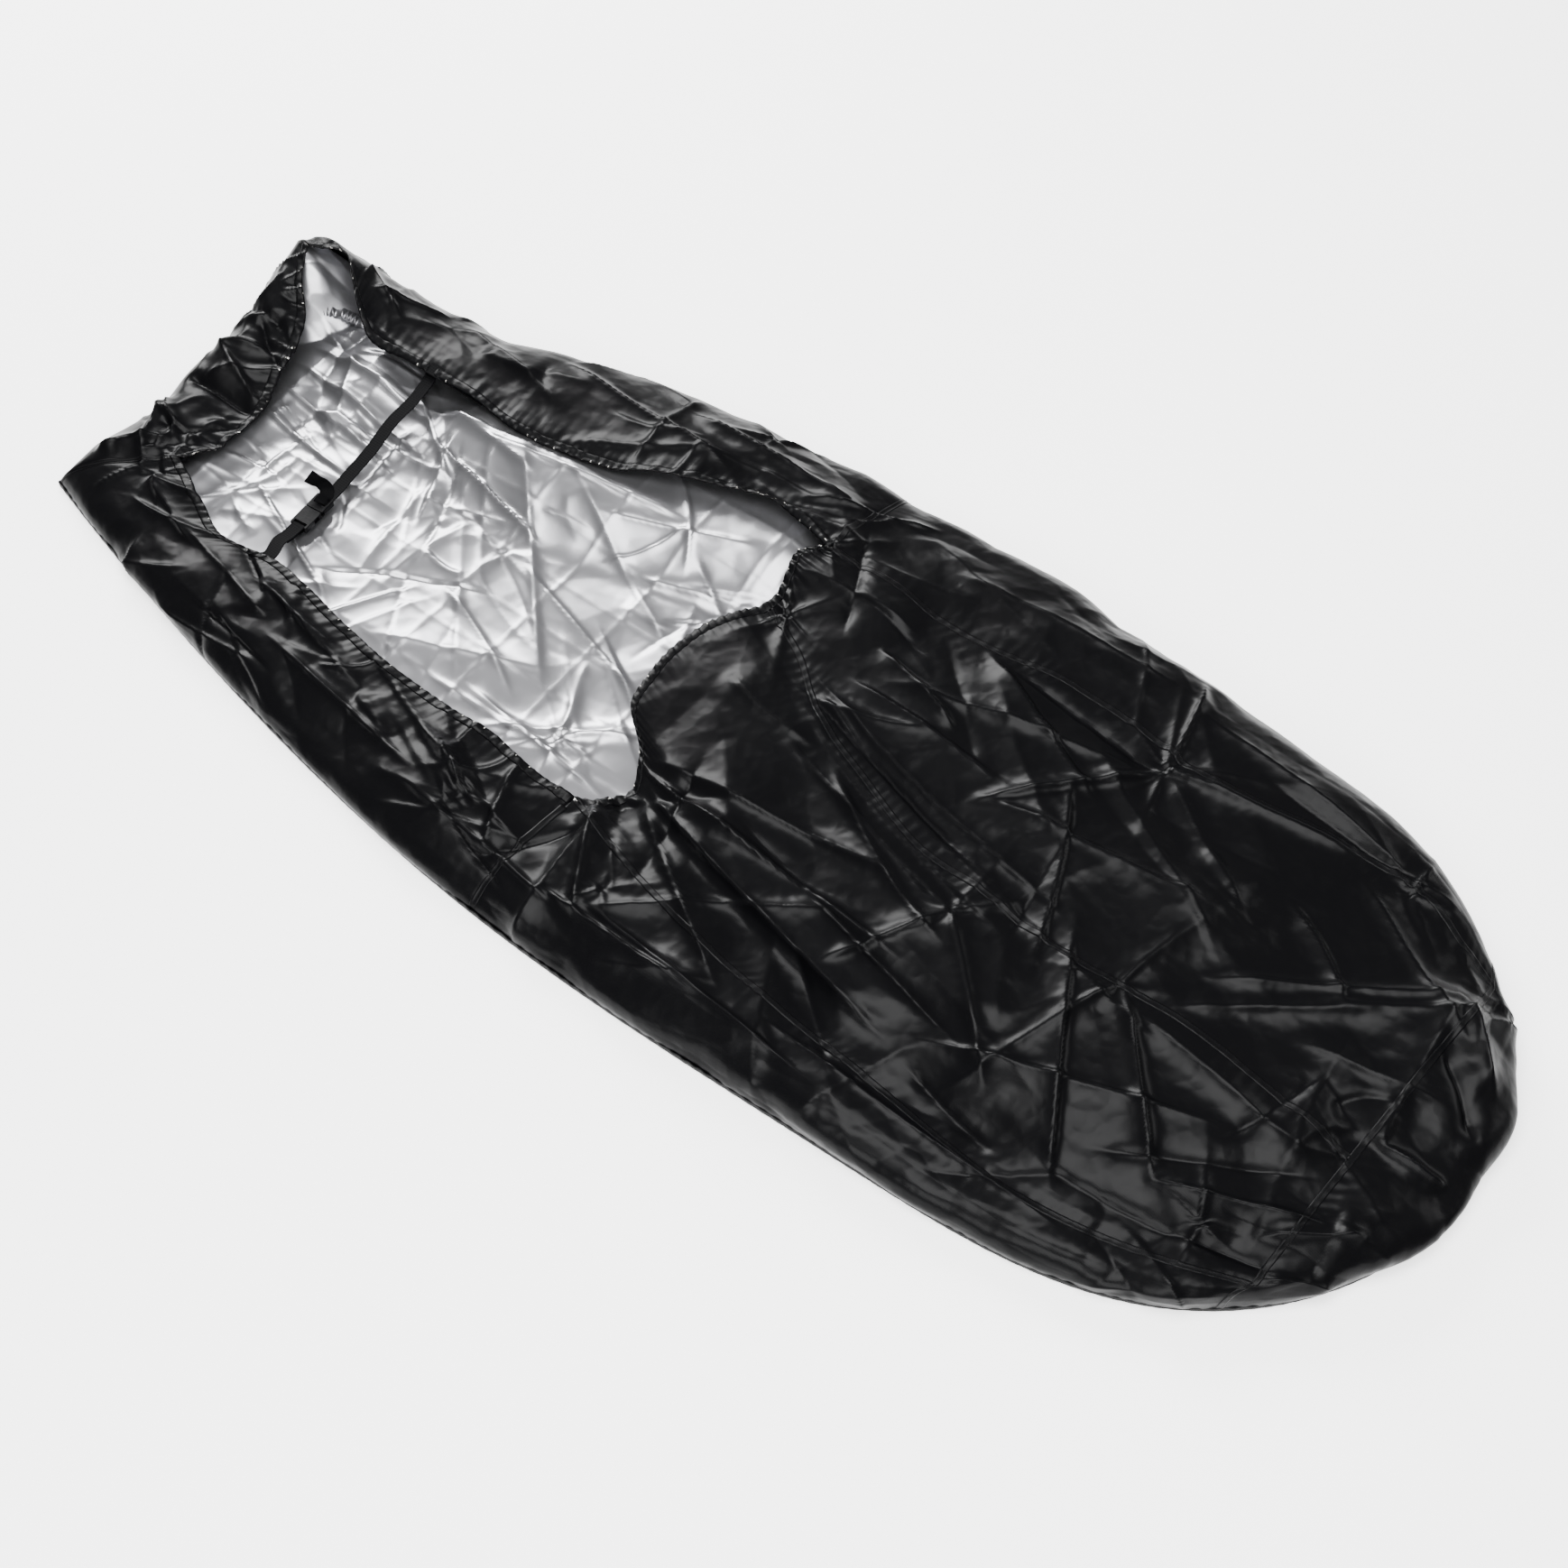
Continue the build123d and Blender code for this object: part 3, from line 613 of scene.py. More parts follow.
HEM_HEAD = [HEAD_RIGHT_HEM, (-0.884, -0.120, 0.046), (-0.886, -0.060, 0.045), (-0.892, -0.010, 0.046),
            (-0.908, 0.030, 0.052), (-0.920, 0.075, 0.062), (-0.938, 0.116, 0.080), (-0.985, 0.163, 0.100), EAR_PEAK]
TOP_RIGHT = [CROSS_SEAM_RIGHT, (-0.016, -0.276, 0.062), (0.148, -0.313, 0.060), (0.345, -0.329, 0.058),
             (0.449, -0.334, 0.058), (0.680, -0.342, 0.052), (0.792, -0.318, 0.048), (FOOT_SEAM_X, -0.262, 0.042)]
TOP_LEFT = [CROSS_SEAM_LEFT, (-0.010, 0.264, 0.075), (0.167, 0.262, 0.075), (0.291, 0.279, 0.072),
            (0.415, 0.276, 0.072), (0.500, 0.262, 0.072), (0.582, 0.275, 0.070), (0.681, 0.298, 0.068),
            (0.799, 0.304, 0.058), (FOOT_SEAM_X, 0.250, 0.045)]
CENTRE = [(-0.104, 0.140, 0.073), (-0.022, 0.101, 0.078), (0.063, 0.038, 0.077), (0.176, -0.008, 0.076),
          (0.300, -0.050, 0.075), (0.363, -0.052, 0.074), (0.470, -0.060, 0.074), (0.516, -0.062, 0.073),
          (0.684, -0.048, 0.072), (0.813, -0.056, 0.070), (FOOT_SEAM_X, -0.068, 0.060)]

# Folds and stars of the black cloth: long fans from the corners of the opening, the
# flat pleat beside the middle seam, and the soft rolls of the head strips.
BLACK_FOLDS = [
    Fold((-0.07, -0.19), (0.42, -0.29), 15, 13, 1.8), Fold((-0.07, -0.17), (0.36, -0.19), 13, 11, 0.5),
    Fold((-0.06, -0.20), (0.22, -0.36), 13, 11, 2.0), Fold((-0.06, -0.15), (0.30, -0.10), 10, 10, 1.6),
    Fold((-0.09, -0.23), (0.02, -0.40), 12, 9, 1.5), Fold((0.10, -0.16), (0.50, -0.24), -9, 10),
    Fold((0.02, 0.06), (0.36, -0.03), -7, 9, 0.4), Fold((0.05, -0.02), (0.40, -0.11), 7, 8, 2.2),
    Fold((0.30, 0.06), (0.62, 0.10), 9, 15, 0.6), Fold((0.10, 0.13), (0.42, 0.22), 8, 10, 1.5),
    Fold((0.46, 0.24), (0.30, 0.05), 9, 10, 0.5), Fold((0.46, 0.24), (0.66, 0.12), 10, 12, 1.8),
    Fold((0.46, 0.24), (0.72, 0.30), 7, 8, 1.4), Fold((0.46, 0.24), (0.42, 0.40), 8, 8, 0.7),
    Fold((0.20, 0.25), (0.46, 0.24), -8, 9), Fold((0.60, -0.05), (0.78, -0.24), 13, 15, 0.5),
    Fold((0.62, -0.07), (0.90, -0.10), 11, 15, 1.6), Fold((0.70, -0.25), (0.92, -0.12), -8, 12),
    Fold((0.78, -0.24), (0.97, -0.16), 12, 14, 0.6), Fold((0.59, -0.06), (0.52, -0.30), 8, 10, 1.8),
    Fold((0.38, -0.10), (0.56, -0.27), 11, 12, 1.7), Fold((0.38, -0.10), (0.30, -0.25), 8, 9, 0.6),
    Fold((0.66, -0.04), (0.86, 0.12), 9, 12, 1.4), Fold((0.67, 0.02), (0.93, 0.20), 10, 14, 0.7),
    Fold((0.80, 0.02), (0.99, 0.06), 8, 11, 1.5), Fold((0.74, 0.27), (0.97, 0.14), 10, 12, 1.3),
    Fold((0.05, 0.34), (0.40, 0.36), 7, 10, 1.8), Fold((0.45, 0.34), (0.80, 0.32), 8, 10, 1.6),
    Fold((0.02, -0.37), (0.38, -0.39), 9, 9, 0.6), Fold((0.30, -0.36), (0.72, -0.36), 8, 9, 0.6),
    Fold((-0.93, -0.22), (-0.80, -0.27), 10, 8, 1.5), Fold((-0.93, -0.22), (-0.85, -0.20), 11, 9, 0.7),
    Fold((-0.95, -0.22), (-1.02, -0.10), 12, 9, 1.3), Fold((-0.93, -0.20), (-0.94, -0.06), 9, 8, 1.3),
    Fold((-0.84, -0.25), (-0.62, -0.30), 9, 9, 1.6), Fold((-0.80, -0.21), (-0.66, -0.27), -10, 8, 0.6),
    Fold((-0.72, -0.24), (-0.44, -0.31), 9, 10, 1.7), Fold((-0.60, -0.32), (-0.30, -0.36), 10, 10, 0.6),
    Fold((-0.50, -0.25), (-0.22, -0.34), 8, 9, 1.5), Fold((-0.34, -0.30), (-0.10, -0.36), 11, 10, 1.6),
    Fold((-0.30, -0.38), (-0.02, -0.40), 9, 8, 0.7), Fold((-0.20, -0.26), (-0.14, -0.40), 9, 7, 1.5),
    Fold((-0.78, 0.28), (-0.56, 0.24), 7, 10, 1.7), Fold((-0.62, 0.32), (-0.30, 0.30), 9, 11, 0.6),
    Fold((-0.52, 0.20), (-0.30, 0.33), 6, 10, 1.6), Fold((-0.42, 0.36), (-0.12, 0.36), 10, 10, 0.7),
    Fold((-0.30, 0.28), (-0.06, 0.30), 9, 9, 1.4), Fold((-0.20, 0.32), (-0.02, 0.41), 8, 8, 1.4),
    Fold((-0.90, 0.22), (-0.82, 0.28), 9, 7, 1.5), Fold((-0.95, 0.26), (-0.84, 0.21), 7, 7, 0.7),
    Fold((-1.00, -0.04), (-0.91, 0.06), 9, 7, 1.5), Fold((-1.02, 0.02), (-0.92, -0.02), 8, 7, 0.6),
    Fold((-0.99, 0.08), (-0.93, 0.04), -9, 7), Fold((-0.98, -0.14), (-0.90, -0.11), -8, 7, 1.4)]
BLACK_PINCHES = [
    Pinch(0.456, 0.243, 85, 9, 6, 3), Pinch(-0.075, 0.142, 55, 10, 6, 5), Pinch(0.379, -0.10, 75, 7, 5, 8),
    Pinch(0.595, -0.058, 70, 6, 4, 11), Pinch(0.934, -0.076, 50, 5, 4, 15),
    Pinch(-0.926, -0.205, 60, 9, 6, 17), Pinch(-0.085, -0.232, 70, 11, 7, 21), Pinch(-0.10, 0.262, 60, 9, 6, 23),
    Pinch(-0.30, 0.405, 50, 7, 5, 25), Pinch(0.02, -0.34, 50, 7, 5, 27), Pinch(0.86, -0.25, 55, 8, 5, 31),
    Pinch(0.80, 0.30, 60, 7, 5, 33), Pinch(-0.925, 0.075, 40, 8, 5, 35), Pinch(-0.22, -0.36, 40, 6, 5, 37)]
BLACK_FOLDS += [
    Fold((-1.03, -0.23), (-0.95, -0.15), 16, 10, 1.4), Fold((-1.03, -0.12), (-0.93, -0.13), 12, 8, 1.5),
    Fold((-1.02, -0.05), (-0.92, -0.04), -12, 8, 1.5), Fold((-1.03, 0.01), (-0.93, 0.06), 12, 9, 0.7),
    Fold((-1.03, 0.09), (-0.95, 0.09), -8, 9, 0.7), Fold((0.93, 0.20), (1.03, 0.12), 14, 12, 1.6),
    Fold((0.95, 0.12), (1.05, 0.05), -12, 10, 1.5), Fold((0.96, -0.03), (1.06, -0.02), 13, 10, 0.6),
    Fold((0.92, -0.22), (1.02, -0.14), 12, 11, 1.6), Fold((0.84, -0.28), (0.97, -0.25), -9, 9, 1.5),
    Fold((0.04, 0.05), (0.46, -0.075), 5, 3, 1.0, 17, -12), Fold((0.00, 0.09), (0.50, -0.02), 6, 6, 2.5, 0, -14),
    *scattered(34, 5, (-0.05, 0.95, -0.30, 0.24), (0.14, 0.38), (5, 12), (12, 30), -25, 34),
    *scattered(9, 6, (-0.08, 0.92, 0.26, 0.40), (0.10, 0.30), (2, 5), (12, 26), 2, 18),
    *scattered(17, 7, (-0.08, 0.92, -0.42, -0.30), (0.10, 0.28), (4, 10), (11, 26), -3, 28),
    *scattered(34, 8, (-0.90, -0.10, -0.40, -0.24), (0.06, 0.22), (3, 9), (5, 16), -12, 28),
    *scattered(26, 9, (-0.90, -0.10, 0.18, 0.40), (0.08, 0.24), (2, 7), (7, 20), 14, 26),
    *scattered(22, 10, (-1.04, -0.91, -0.24, 0.18), (0.04, 0.12), (3, 8), (4, 9), 75, 30),
    *scattered(16, 12, (-1.08, -0.93, 0.13, 0.30), (0.04, 0.12), (2, 6), (3, 8), 30, 50),
    *scattered(13, 11, (0.90, 1.04, -0.26, 0.26), (0.07, 0.18), (4, 9), (8, 18), 80, 40)]
# Folds of the silver floor: the straight creases of its packed folding, and the drags towards the strap.
FLOOR_FOLDS = [
    Fold((-0.62, 0.10), (-0.36, -0.20), 6, 14, 1.8), Fold((-0.56, 0.16), (-0.28, -0.12), 7, 14, 0.5),
    Fold((-0.50, 0.18), (-0.16, 0.02), 6, 10, 1.7), Fold((-0.44, 0.02), (-0.14, -0.06), 5, 9, 0.5),
    Fold((-0.84, 0.12), (-0.62, 0.15), 5, 9, 1.6), Fold((-0.86, 0.04), (-0.60, 0.07), 5, 10, 0.6),
    Fold((-0.85, -0.04), (-0.64, -0.02), 4, 9, 1.5), Fold((-0.66, 0.14), (-0.60, -0.14), 4, 8, 1.4),
    Fold((-0.30, -0.22), (-0.12, -0.10), 6, 8, 1.6), Fold((-0.36, -0.18), (-0.10, -0.20), 6, 9, 0.6),
    Fold((-0.20, -0.17), (-0.26, -0.05), 5, 8, 1.3), Fold((-0.52, -0.20), (-0.30, -0.10), 5, 12, 1.6),
    Fold((-0.40, 0.14), (-0.20, 0.22), 5, 9, 0.7), Fold((-0.30, 0.10), (-0.12, 0.16), 6, 9, 1.4),
    Fold((-0.78, -0.14), (-0.60, -0.18), 4, 9, 1.5), Fold((-0.88, 0.16), (-0.80, 0.02), 5, 8, 1.4),
    Fold((-0.95, 0.16), (-0.84, 0.12), 5, 6, 1.3), Fold((-0.62, 0.02), (-0.48, 0.06), 4, 7, 1.4)]
FLOOR_PINCHES = [Pinch(-0.203, -0.169, 60, 6, 8, 41), Pinch(-0.47, 0.02, 50, 3, 5, 42),
                 Pinch(-0.14, 0.05, 50, 4, 5, 43)]
FLOOR_FOLDS += [
    Fold((-0.93, 0.125), (-0.70, 0.120), 8, 4, 5), Fold((-0.92, 0.085), (-0.66, 0.070), 9, 4, 5),
    Fold((-0.93, 0.040), (-0.70, 0.035), 8, 4, 5), Fold((-0.92, -0.005), (-0.72, -0.020), 8, 4, 5),
    Fold((-0.70, 0.150), (-0.52, 0.130), 8, 5, 4), Fold((-0.68, 0.100), (-0.45, 0.060), 9, 5, 0.3),
    Fold((-0.66, 0.120), (-0.60, -0.02), 6, 4, 4), Fold((-0.60, 0.14), (-0.30, 0.20), 7, 5, 4),
    *scattered(46, 51, (-0.86, -0.12, -0.22, 0.22), (0.07, 0.28), (1.5, 5), (4, 11), -38, 30),
    *scattered(20, 52, (-0.88, -0.60, -0.14, 0.16), (0.06, 0.20), (1.5, 4), (4, 9), 10, 18)]


@dataclass
class Cloth:
    """How the fabric crumples: one field over the whole sack, so that sewn edges stay together."""

    coarse: float = 10.5               # heights of the three sizes of facet, millimetres
    middle: float = 4.5
    fine: float = 1.3

    def spread(self, points: Array) -> Array:
        """Flat place of a point on the sides and top: its plan place, pushed out by how far down it is.

        Args:
            points: Points of the smooth shape.

        Returns:
            Flat places, in metres.
        """
        away = points[..., :2] * np.array((0.45, 1.0))
        away = away / np.maximum(np.linalg.norm(away, axis=-1, keepdims=True), 0.05)
        return points[..., :2] + away * np.clip(0.07 - points[..., 2:3], 0, 1)

    def rise(self, q: Array) -> Array:
        """Height of the crumpled black cloth over its smooth shape: three sizes of facet, folds and pinches.

        Args:
            q: Flat places, in metres.

        Returns:
            Heights, in metres.
        """
        high = self.coarse * crumple(q, 0.155, 3.0, -25, 1.6) + self.middle * crumple(q, 0.080, 8.0, -35, 1.8)
        high = high + self.fine * crumple(q, 0.031, 15.0, 20, 1.5)
        calm = 0.55 + 0.45 * np.clip(1.4 * swell(q, 0.5, 2.0) + 0.5, 0, 1)
        high = high * calm * MM
        for made in (*BLACK_FOLDS, *BLACK_PINCHES):
            high = high + made.rise(q)
        return high

    def moved(self, points: Array, keep: Array | float = 1.0) -> Array:
        """Smooth points with the crumple added along their mean outward direction.

        Args:
            points: Points of the smooth shape.
            keep: Share of the crumple that is kept at each point.

        Returns:
            The crumpled points.
        """
        q = self.spread(points)
        outwards = points[..., :2] * np.array((0.35, 1.0))
        outwards = outwards / np.maximum(np.linalg.norm(outwards, axis=-1, keepdims=True), 0.05)
        up = np.clip(points[..., 2:3] / 0.055, 0.25, 1.0)
        way = np.concatenate((outwards * np.sqrt(1 - np.minimum(up, 0.97) ** 2), up), -1)
        low = np.clip(points[..., 2] / 0.022, 0.12, 1.0)
        return points + way * (self.rise(q) * low * keep)[..., None]


CLOTH = Cloth()


@dataclass
class SidePanel:
    """A strip of black fabric from the floor edge up to the hem or a top seam."""

    name: str
    rim: Array
    top: Array
    rows: int
    belly: float = 0.009               # how far it bulges past its floor edge, in metres
    roll: float = 0.008                # how far its middle stands over a straight top
    gathered: float = 0.0              # height of the gathers at its top edge, in metres
    grid: Array = field(init=False)
    flat: Array = field(init=False)
    cut: tuple[float, float] = field(init=False)
    area: float = field(init=False)

    def __post_init__(self) -> None:
        """Lofts the strip: plan and height go from rim to top edge by the side profile."""
        v = np.linspace(0, 1, self.rows)[None, :, None]
        inward, upward = side_profile(v)
        a, b = self.rim[:, None, :], self.top[:, None, :]
        grid = np.concatenate((a[..., :2] * (1 - inward) + b[..., :2] * inward,
                               a[..., 2:] * (1 - upward) + b[..., 2:] * upward), -1)
        out = self.rim[:, :2] - self.top[:, :2]
        length = np.linalg.norm(out, axis=1)
        out = out / np.maximum(length, 1e-4)[:, None]
        share = np.clip(length / 0.08, 0, 1)[:, None, None]
        t = run_of(self.rim)
        lumps = (0.3 + 1.1 * np.abs(np.sin(11.0 * t + 2.3 * np.sin(4.7 * t))))[:, None, None]
        ends = np.sin(np.pi * np.clip(np.linspace(0, 1, len(self.rim)), 0, 1))[:, None, None] ** 0.4
        grid[..., :2] += out[:, None] * self.belly * lumps * share * ends * np.sin(np.pi * np.minimum(v * 1.9, 1))
        grid[..., 2:] += self.roll * share * ends * np.sin(np.pi * v) ** 2
        self.cut, self.area = cut_size(grid)
        self.grid = CLOTH.moved(grid)
        s = run_of(self.top)
        width = np.linalg.norm(np.diff(grid, axis=1), axis=-1).cumsum(1)
        width = np.concatenate((np.zeros((len(s), 1)), width), 1)
        self.flat = np.stack([np.broadcast_to(s[:, None], width.shape), width], -1)
        near_top = (width[:, -1:] - width)
        if self.gathered:
            wave = gathers(s, 0.013, 2.2, 41) + 0.6 * gathers(s, 0.021, 3, 23)
            self.grid[..., 2] += self.gathered * wave[:, None] * np.exp(-near_top / GATHER_REACH)
        else:
            self.grid[..., 2] += PUCKER * gathers(s, 0.017, 1.7, 37)[:, None] * np.exp(-near_top / PUCKER_REACH)


@dataclass
class TopPanel:
    """Half of the cover over the legs, between a top seam and the middle seam."""

    name: str
    outer: Array                       # top seam
    inner: Array                       # middle seam
    head: Array                        # its part of the hem
    foot: Array                        # its part of the foot seam
    crown: float = 0.006               # how far its middle stands over its edges, in metres
    gathered: float = 0.0022           # height of the gathers at the hem, in metres
    grid: Array = field(init=False)
    flat: Array = field(init=False)
    cut: tuple[float, float] = field(init=False)
    area: float = field(init=False)

    def __post_init__(self) -> None:
        """Blends the four edges: straight mixes of facing edges are added, and that of the corners taken away."""
        u = np.linspace(0, 1, len(self.outer))[:, None, None]
        v = np.linspace(0, 1, len(self.head))[None, :, None]
        across = (1 - v) * self.outer[:, None] + v * self.inner[:, None]
        along = (1 - u) * self.head[None] + u * self.foot[None]
        corners = ((1 - u) * (1 - v) * self.outer[0] + (1 - u) * v * self.inner[0]
                   + u * (1 - v) * self.outer[-1] + u * v * self.inner[-1])
        grid = across + along - corners
        grid[..., 2:] += self.crown * np.sin(np.pi * u) ** 0.5 * np.sin(np.pi * v)
        self.cut, self.area = cut_size(grid)
        self.grid = CLOTH.moved(grid)
        s = run_of(self.outer)
        width = np.concatenate((np.zeros((len(s), 1)), np.linalg.norm(np.diff(grid, axis=1), axis=-1).cumsum(1)), 1)
        self.flat = np.stack([np.broadcast_to(s[:, None], width.shape), width], -1)
        for edge, line, step in ((width, self.outer, 0.017), (width[:, -1:] - width, self.inner, 0.015)):
            t = run_of(line)
            self.grid[..., 2] += PUCKER * gathers(t, step, 1.7, 37)[:, None] * np.exp(-edge / PUCKER_REACH)
        hem = np.linalg.norm(grid - self.head[None], axis=-1)
        t = run_of(self.head)
        self.grid[..., 2] += self.gathered * gathers(t, 0.014, 2.2, 31)[None] * np.exp(-hem / GATHER_REACH)


def fabric(name: str, grid: Array, flat: Array, finishes: tuple[bpy.types.Material, ...], outward: Vector,
           thick: float = 0.5) -> bpy.types.Object:
    """A panel of fabric with a real thickness: black outside and silver inside.

    Args:
        name: Piece name.
        grid: The panel's outer face, as a grid of points.
        flat: Flat places of the same points, for the weave.
        finishes: Materials of the outer and inner face.
        outward: A direction that the outer face looks in.
        thick: Thickness in millimetres.

    Returns:
        The panel.
    """
    faces = grid_faces(*grid.shape[:2])
    if (grid_normals(grid).mean((0, 1)) @ np.array(outward)) < 0:
        faces = faces[:, ::-1]
    piece = mesh_piece(name, grid, faces, flat, merge=1e-6)
    for finish in finishes:
        piece.data.materials.append(finish)
    wall = piece.modifiers.new("thickness", "SOLIDIFY")
    wall.thickness = thick * MM
    wall.offset = -1
    wall.material_offset = len(finishes) - 1
    return piece


def cut_size(smooth: Array) -> tuple[tuple[float, float], float]:
    """Size of the flat cut of a panel: its longest run across and along, and its area before the crumple.

    Args:
        smooth: The panel's grid of points before the crumple.

    Returns:
        The width and length in metres, and the area in square metres.
    """
    length = float(np.linalg.norm(np.diff(smooth, axis=0), axis=-1).sum(0).max())
    width = float(np.linalg.norm(np.diff(smooth, axis=1), axis=-1).sum(1).max())
    one, other = smooth[1:, 1:] - smooth[:-1, :-1], smooth[1:, :-1] - smooth[:-1, 1:]
    area = float(np.linalg.norm(np.cross(one, other), axis=-1).sum() / 2)
    return (width, length), min(area, width * length)


def inset(edge: Array, strip: Array, distance: float) -> Array:
    """Points a fixed distance into a panel from one of its edges, by mixing its two nearest rows of points.

    Args:
        edge: Points of the edge.
        strip: The panel's points with the edge's own as its first column.
        distance: How far in, in metres.

    Returns:
        One point for each edge point.
    """
    run = np.linalg.norm(np.diff(strip, axis=1), axis=-1).cumsum(1)
    run = np.concatenate((np.zeros((len(edge), 1)), run), 1)
    i = np.clip((run < distance).sum(1) - 1, 0, strip.shape[1] - 2)
    n = np.arange(len(edge))
    f = np.clip((distance - run[n, i]) / np.maximum(run[n, i + 1] - run[n, i], 1e-6), 0, 1)[:, None]
    return strip[n, i] * (1 - f) + strip[n, i + 1] * f


@dataclass
class Seam:
    """A felled seam along the shared edge of two panels, with two rows of stitches."""

    name: str
    one: Array                         # a panel's points, its edge first
    other: Array                       # the other panel's
    width: float = 5.0                 # half width, millimetres
    rise: float = 0.6                  # millimetres
    up: Array = field(init=False)

    def __post_init__(self) -> None:
        """Finds the outward direction along the edge from the panels' faces."""
        a = inset(self.one[:, 0], self.one, self.width * MM)
        b = inset(self.other[:, 0], self.other, self.width * MM)
        way = np.gradient(self.one[:, 0], axis=0)
        up = unit(np.cross(way, a - b))
        side = np.sign((up * np.array((0.0, 0.0, 1.0)) + 0.2 * up * self.one[:, 0] / 0.4).sum(-1).mean())
        self.up = up * (side or 1.0)

    def rings(self) -> Array:
        """Cross sections: two flat plies that rise at the middle of each side, with a groove between them."""
        rise = self.rise * MM
        edge, up = self.one[:, 0], self.up
        steps = []
        for strip, shares in ((self.one, (1.0, 0.96, 0.5)), (self.other, (0.5, 0.96, 1.0))):
            for share in shares:
                lift = rise * (0.0 if share == 1.0 else 1.0 if share == 0.5 else 0.8)
                steps.append(inset(edge, strip, self.width * MM * share) + up * lift)
        steps.insert(3, edge + up * rise * 0.55)
        low = [steps[-1] - up * rise * 0.8, edge - up * rise * 0.8, steps[0] - up * rise * 0.8]
        return np.stack(steps + low, 1)

    def stitch_rows(self) -> list[tuple[Array, Array]]:
        """Two lines along the seam and the outward direction at each of their points."""
        edge = self.one[:, 0]
        return [(inset(edge, strip, 0.62 * self.width * MM) + self.up * self.rise * MM, self.up)
                for strip in (self.one, self.other)]


def stitches(name: str, rows: list[tuple[Array, Array]], pitch: float = 3.6, length: float = 2.3,
             thick: float = 0.5) -> bpy.types.Object:
    """Rows of stitches: each is a slim six-cornered lozenge laid along the row, half sunk in the cloth.

    Args:
        name: Piece name.
        rows: Lines to follow, with the outward direction at each point.
        pitch: Distance from one stitch to the next, in millimetres.
        length: Length of a stitch, in millimetres.
        thick: Its width, in millimetres.

    Returns:
        One piece with all the stitches.
    """
    points, faces = [], []
    shape = np.array([(-0.5, 0, -0.1), (0, 0.5, 0), (0.5, 0, -0.1), (0, -0.5, 0), (0, 0, 0.5), (0, 0, -0.4)])
    sides = np.array([(0, 3, 4), (3, 2, 4), (2, 1, 4), (1, 0, 4), (3, 0, 5), (2, 3, 5), (1, 2, 5), (0, 1, 5)])
    count = 0
    for line, up in rows:
        n = max(2, int(run_of(line)[-1] / (pitch * MM)))
        knots = resampled(line, n + 1)
        at = np.linspace(0, len(line) - 1, n + 1)
        ups = np.column_stack([np.interp(at, np.arange(len(up)), up[:, k]) for k in range(3)])[:-1]
        way = unit(np.diff(knots, axis=0))
        across = np.cross(ups, way)
        middle = (knots[:-1] + knots[1:]) / 2
        size = np.array((length, thick, thick)) * MM
        made = (middle[:, None] + way[:, None] * shape[:, 0, None] * size[0]
                + across[:, None] * shape[:, 1, None] * size[1] + ups[:, None] * shape[:, 2, None] * size[2])
        points.append(made.reshape(-1, 3))
        faces.append((np.arange(len(middle))[:, None, None] * 6 + sides + count).reshape(-1, 3))
        count += len(middle) * 6
    return mesh_piece(name, np.vstack(points), np.vstack(faces))


@dataclass
class Hem:
    """The gathered casing along one side of the opening, and the elastic band in it."""

    name: str
    strip: Array                       # panel points, the hem edge first
    width: float = 14.0                # millimetres
    gather: float = 0.012              # spacing of the gathers, in metres
    way: Array = field(init=False)
    into: Array = field(init=False)
    up: Array = field(init=False)

    def __post_init__(self) -> None:
        """Works out, at each edge point, the directions along the hem, into the panel and outwards."""
        edge = self.strip[:, 0]
        self.into = inset(edge, self.strip, self.width * MM) - edge
        self.into = unit(self.into)
        self.way = unit(np.gradient(edge, axis=0))
        up = unit(np.cross(self.way, self.into))
        flip = np.where(up[:, 2:3] + 0.3 * (up * edge)[:, :2].sum(1, keepdims=True) < 0, -1.0, 1.0)
        self.up = up * flip

    def rings(self, width: float, body: float, ruffle: float) -> Array:
        """Flattened tube sections from the edge inwards, whose top follows the panel and swells between gathers.

        Args:
            width: Width of the tube, in millimetres.
            body: Half its thickness, in millimetres.
            ruffle: Height of the gathers, in millimetres.

        Returns:
            One ring for each edge point.
        """
        edge = self.strip[:, 0]
        t = run_of(edge)
        wave = 0.6 * gathers(t, self.gather, 1.8, 47) + 0.4 * gathers(t, 0.6 * self.gather, 2, 29)
        shares = np.array((-0.10, 0.02, 0.25, 0.55, 0.85, 1.0, 0.9, 0.5, 0.12))
        heights = np.array((0.0, 0.85, 1.15, 1.1, 0.7, 0.05, -0.6, -1.0, -0.8))
        sway = np.array((0.5, 1.0, 1.2, 0.9, 0.4, 0.0, 0.2, 0.5, 0.6))
        rings = []
        for share, high, move in zip(shares, heights, sway):
            base = inset(edge, self.strip, max(share, 0.0) * width * MM) + self.into * min(share, 0.0) * width * MM
            lift = body * high + ruffle * move * wave * (1 if high > 0 else 0.5)
            rings.append(base + self.up * (lift * MM)[:, None])
        return np.stack(rings, 1)

    def stitch_row(self) -> tuple[Array, Array]:
        """The line of stitches that closes the casing."""
        return inset(self.strip[:, 0], self.strip, 0.86 * self.width * MM) + self.up * 1.2 * MM, self.up

    def nearest(self, x: float) -> tuple[Array, Array, Array, Array]:
        """Edge place with the nearest x, with its directions along, into the panel and outwards."""
        k = int(np.argmin(np.abs(self.strip[:, 0, 0] - x)))
        return self.strip[k, 0], self.way[k], self.into[k], self.up[k]


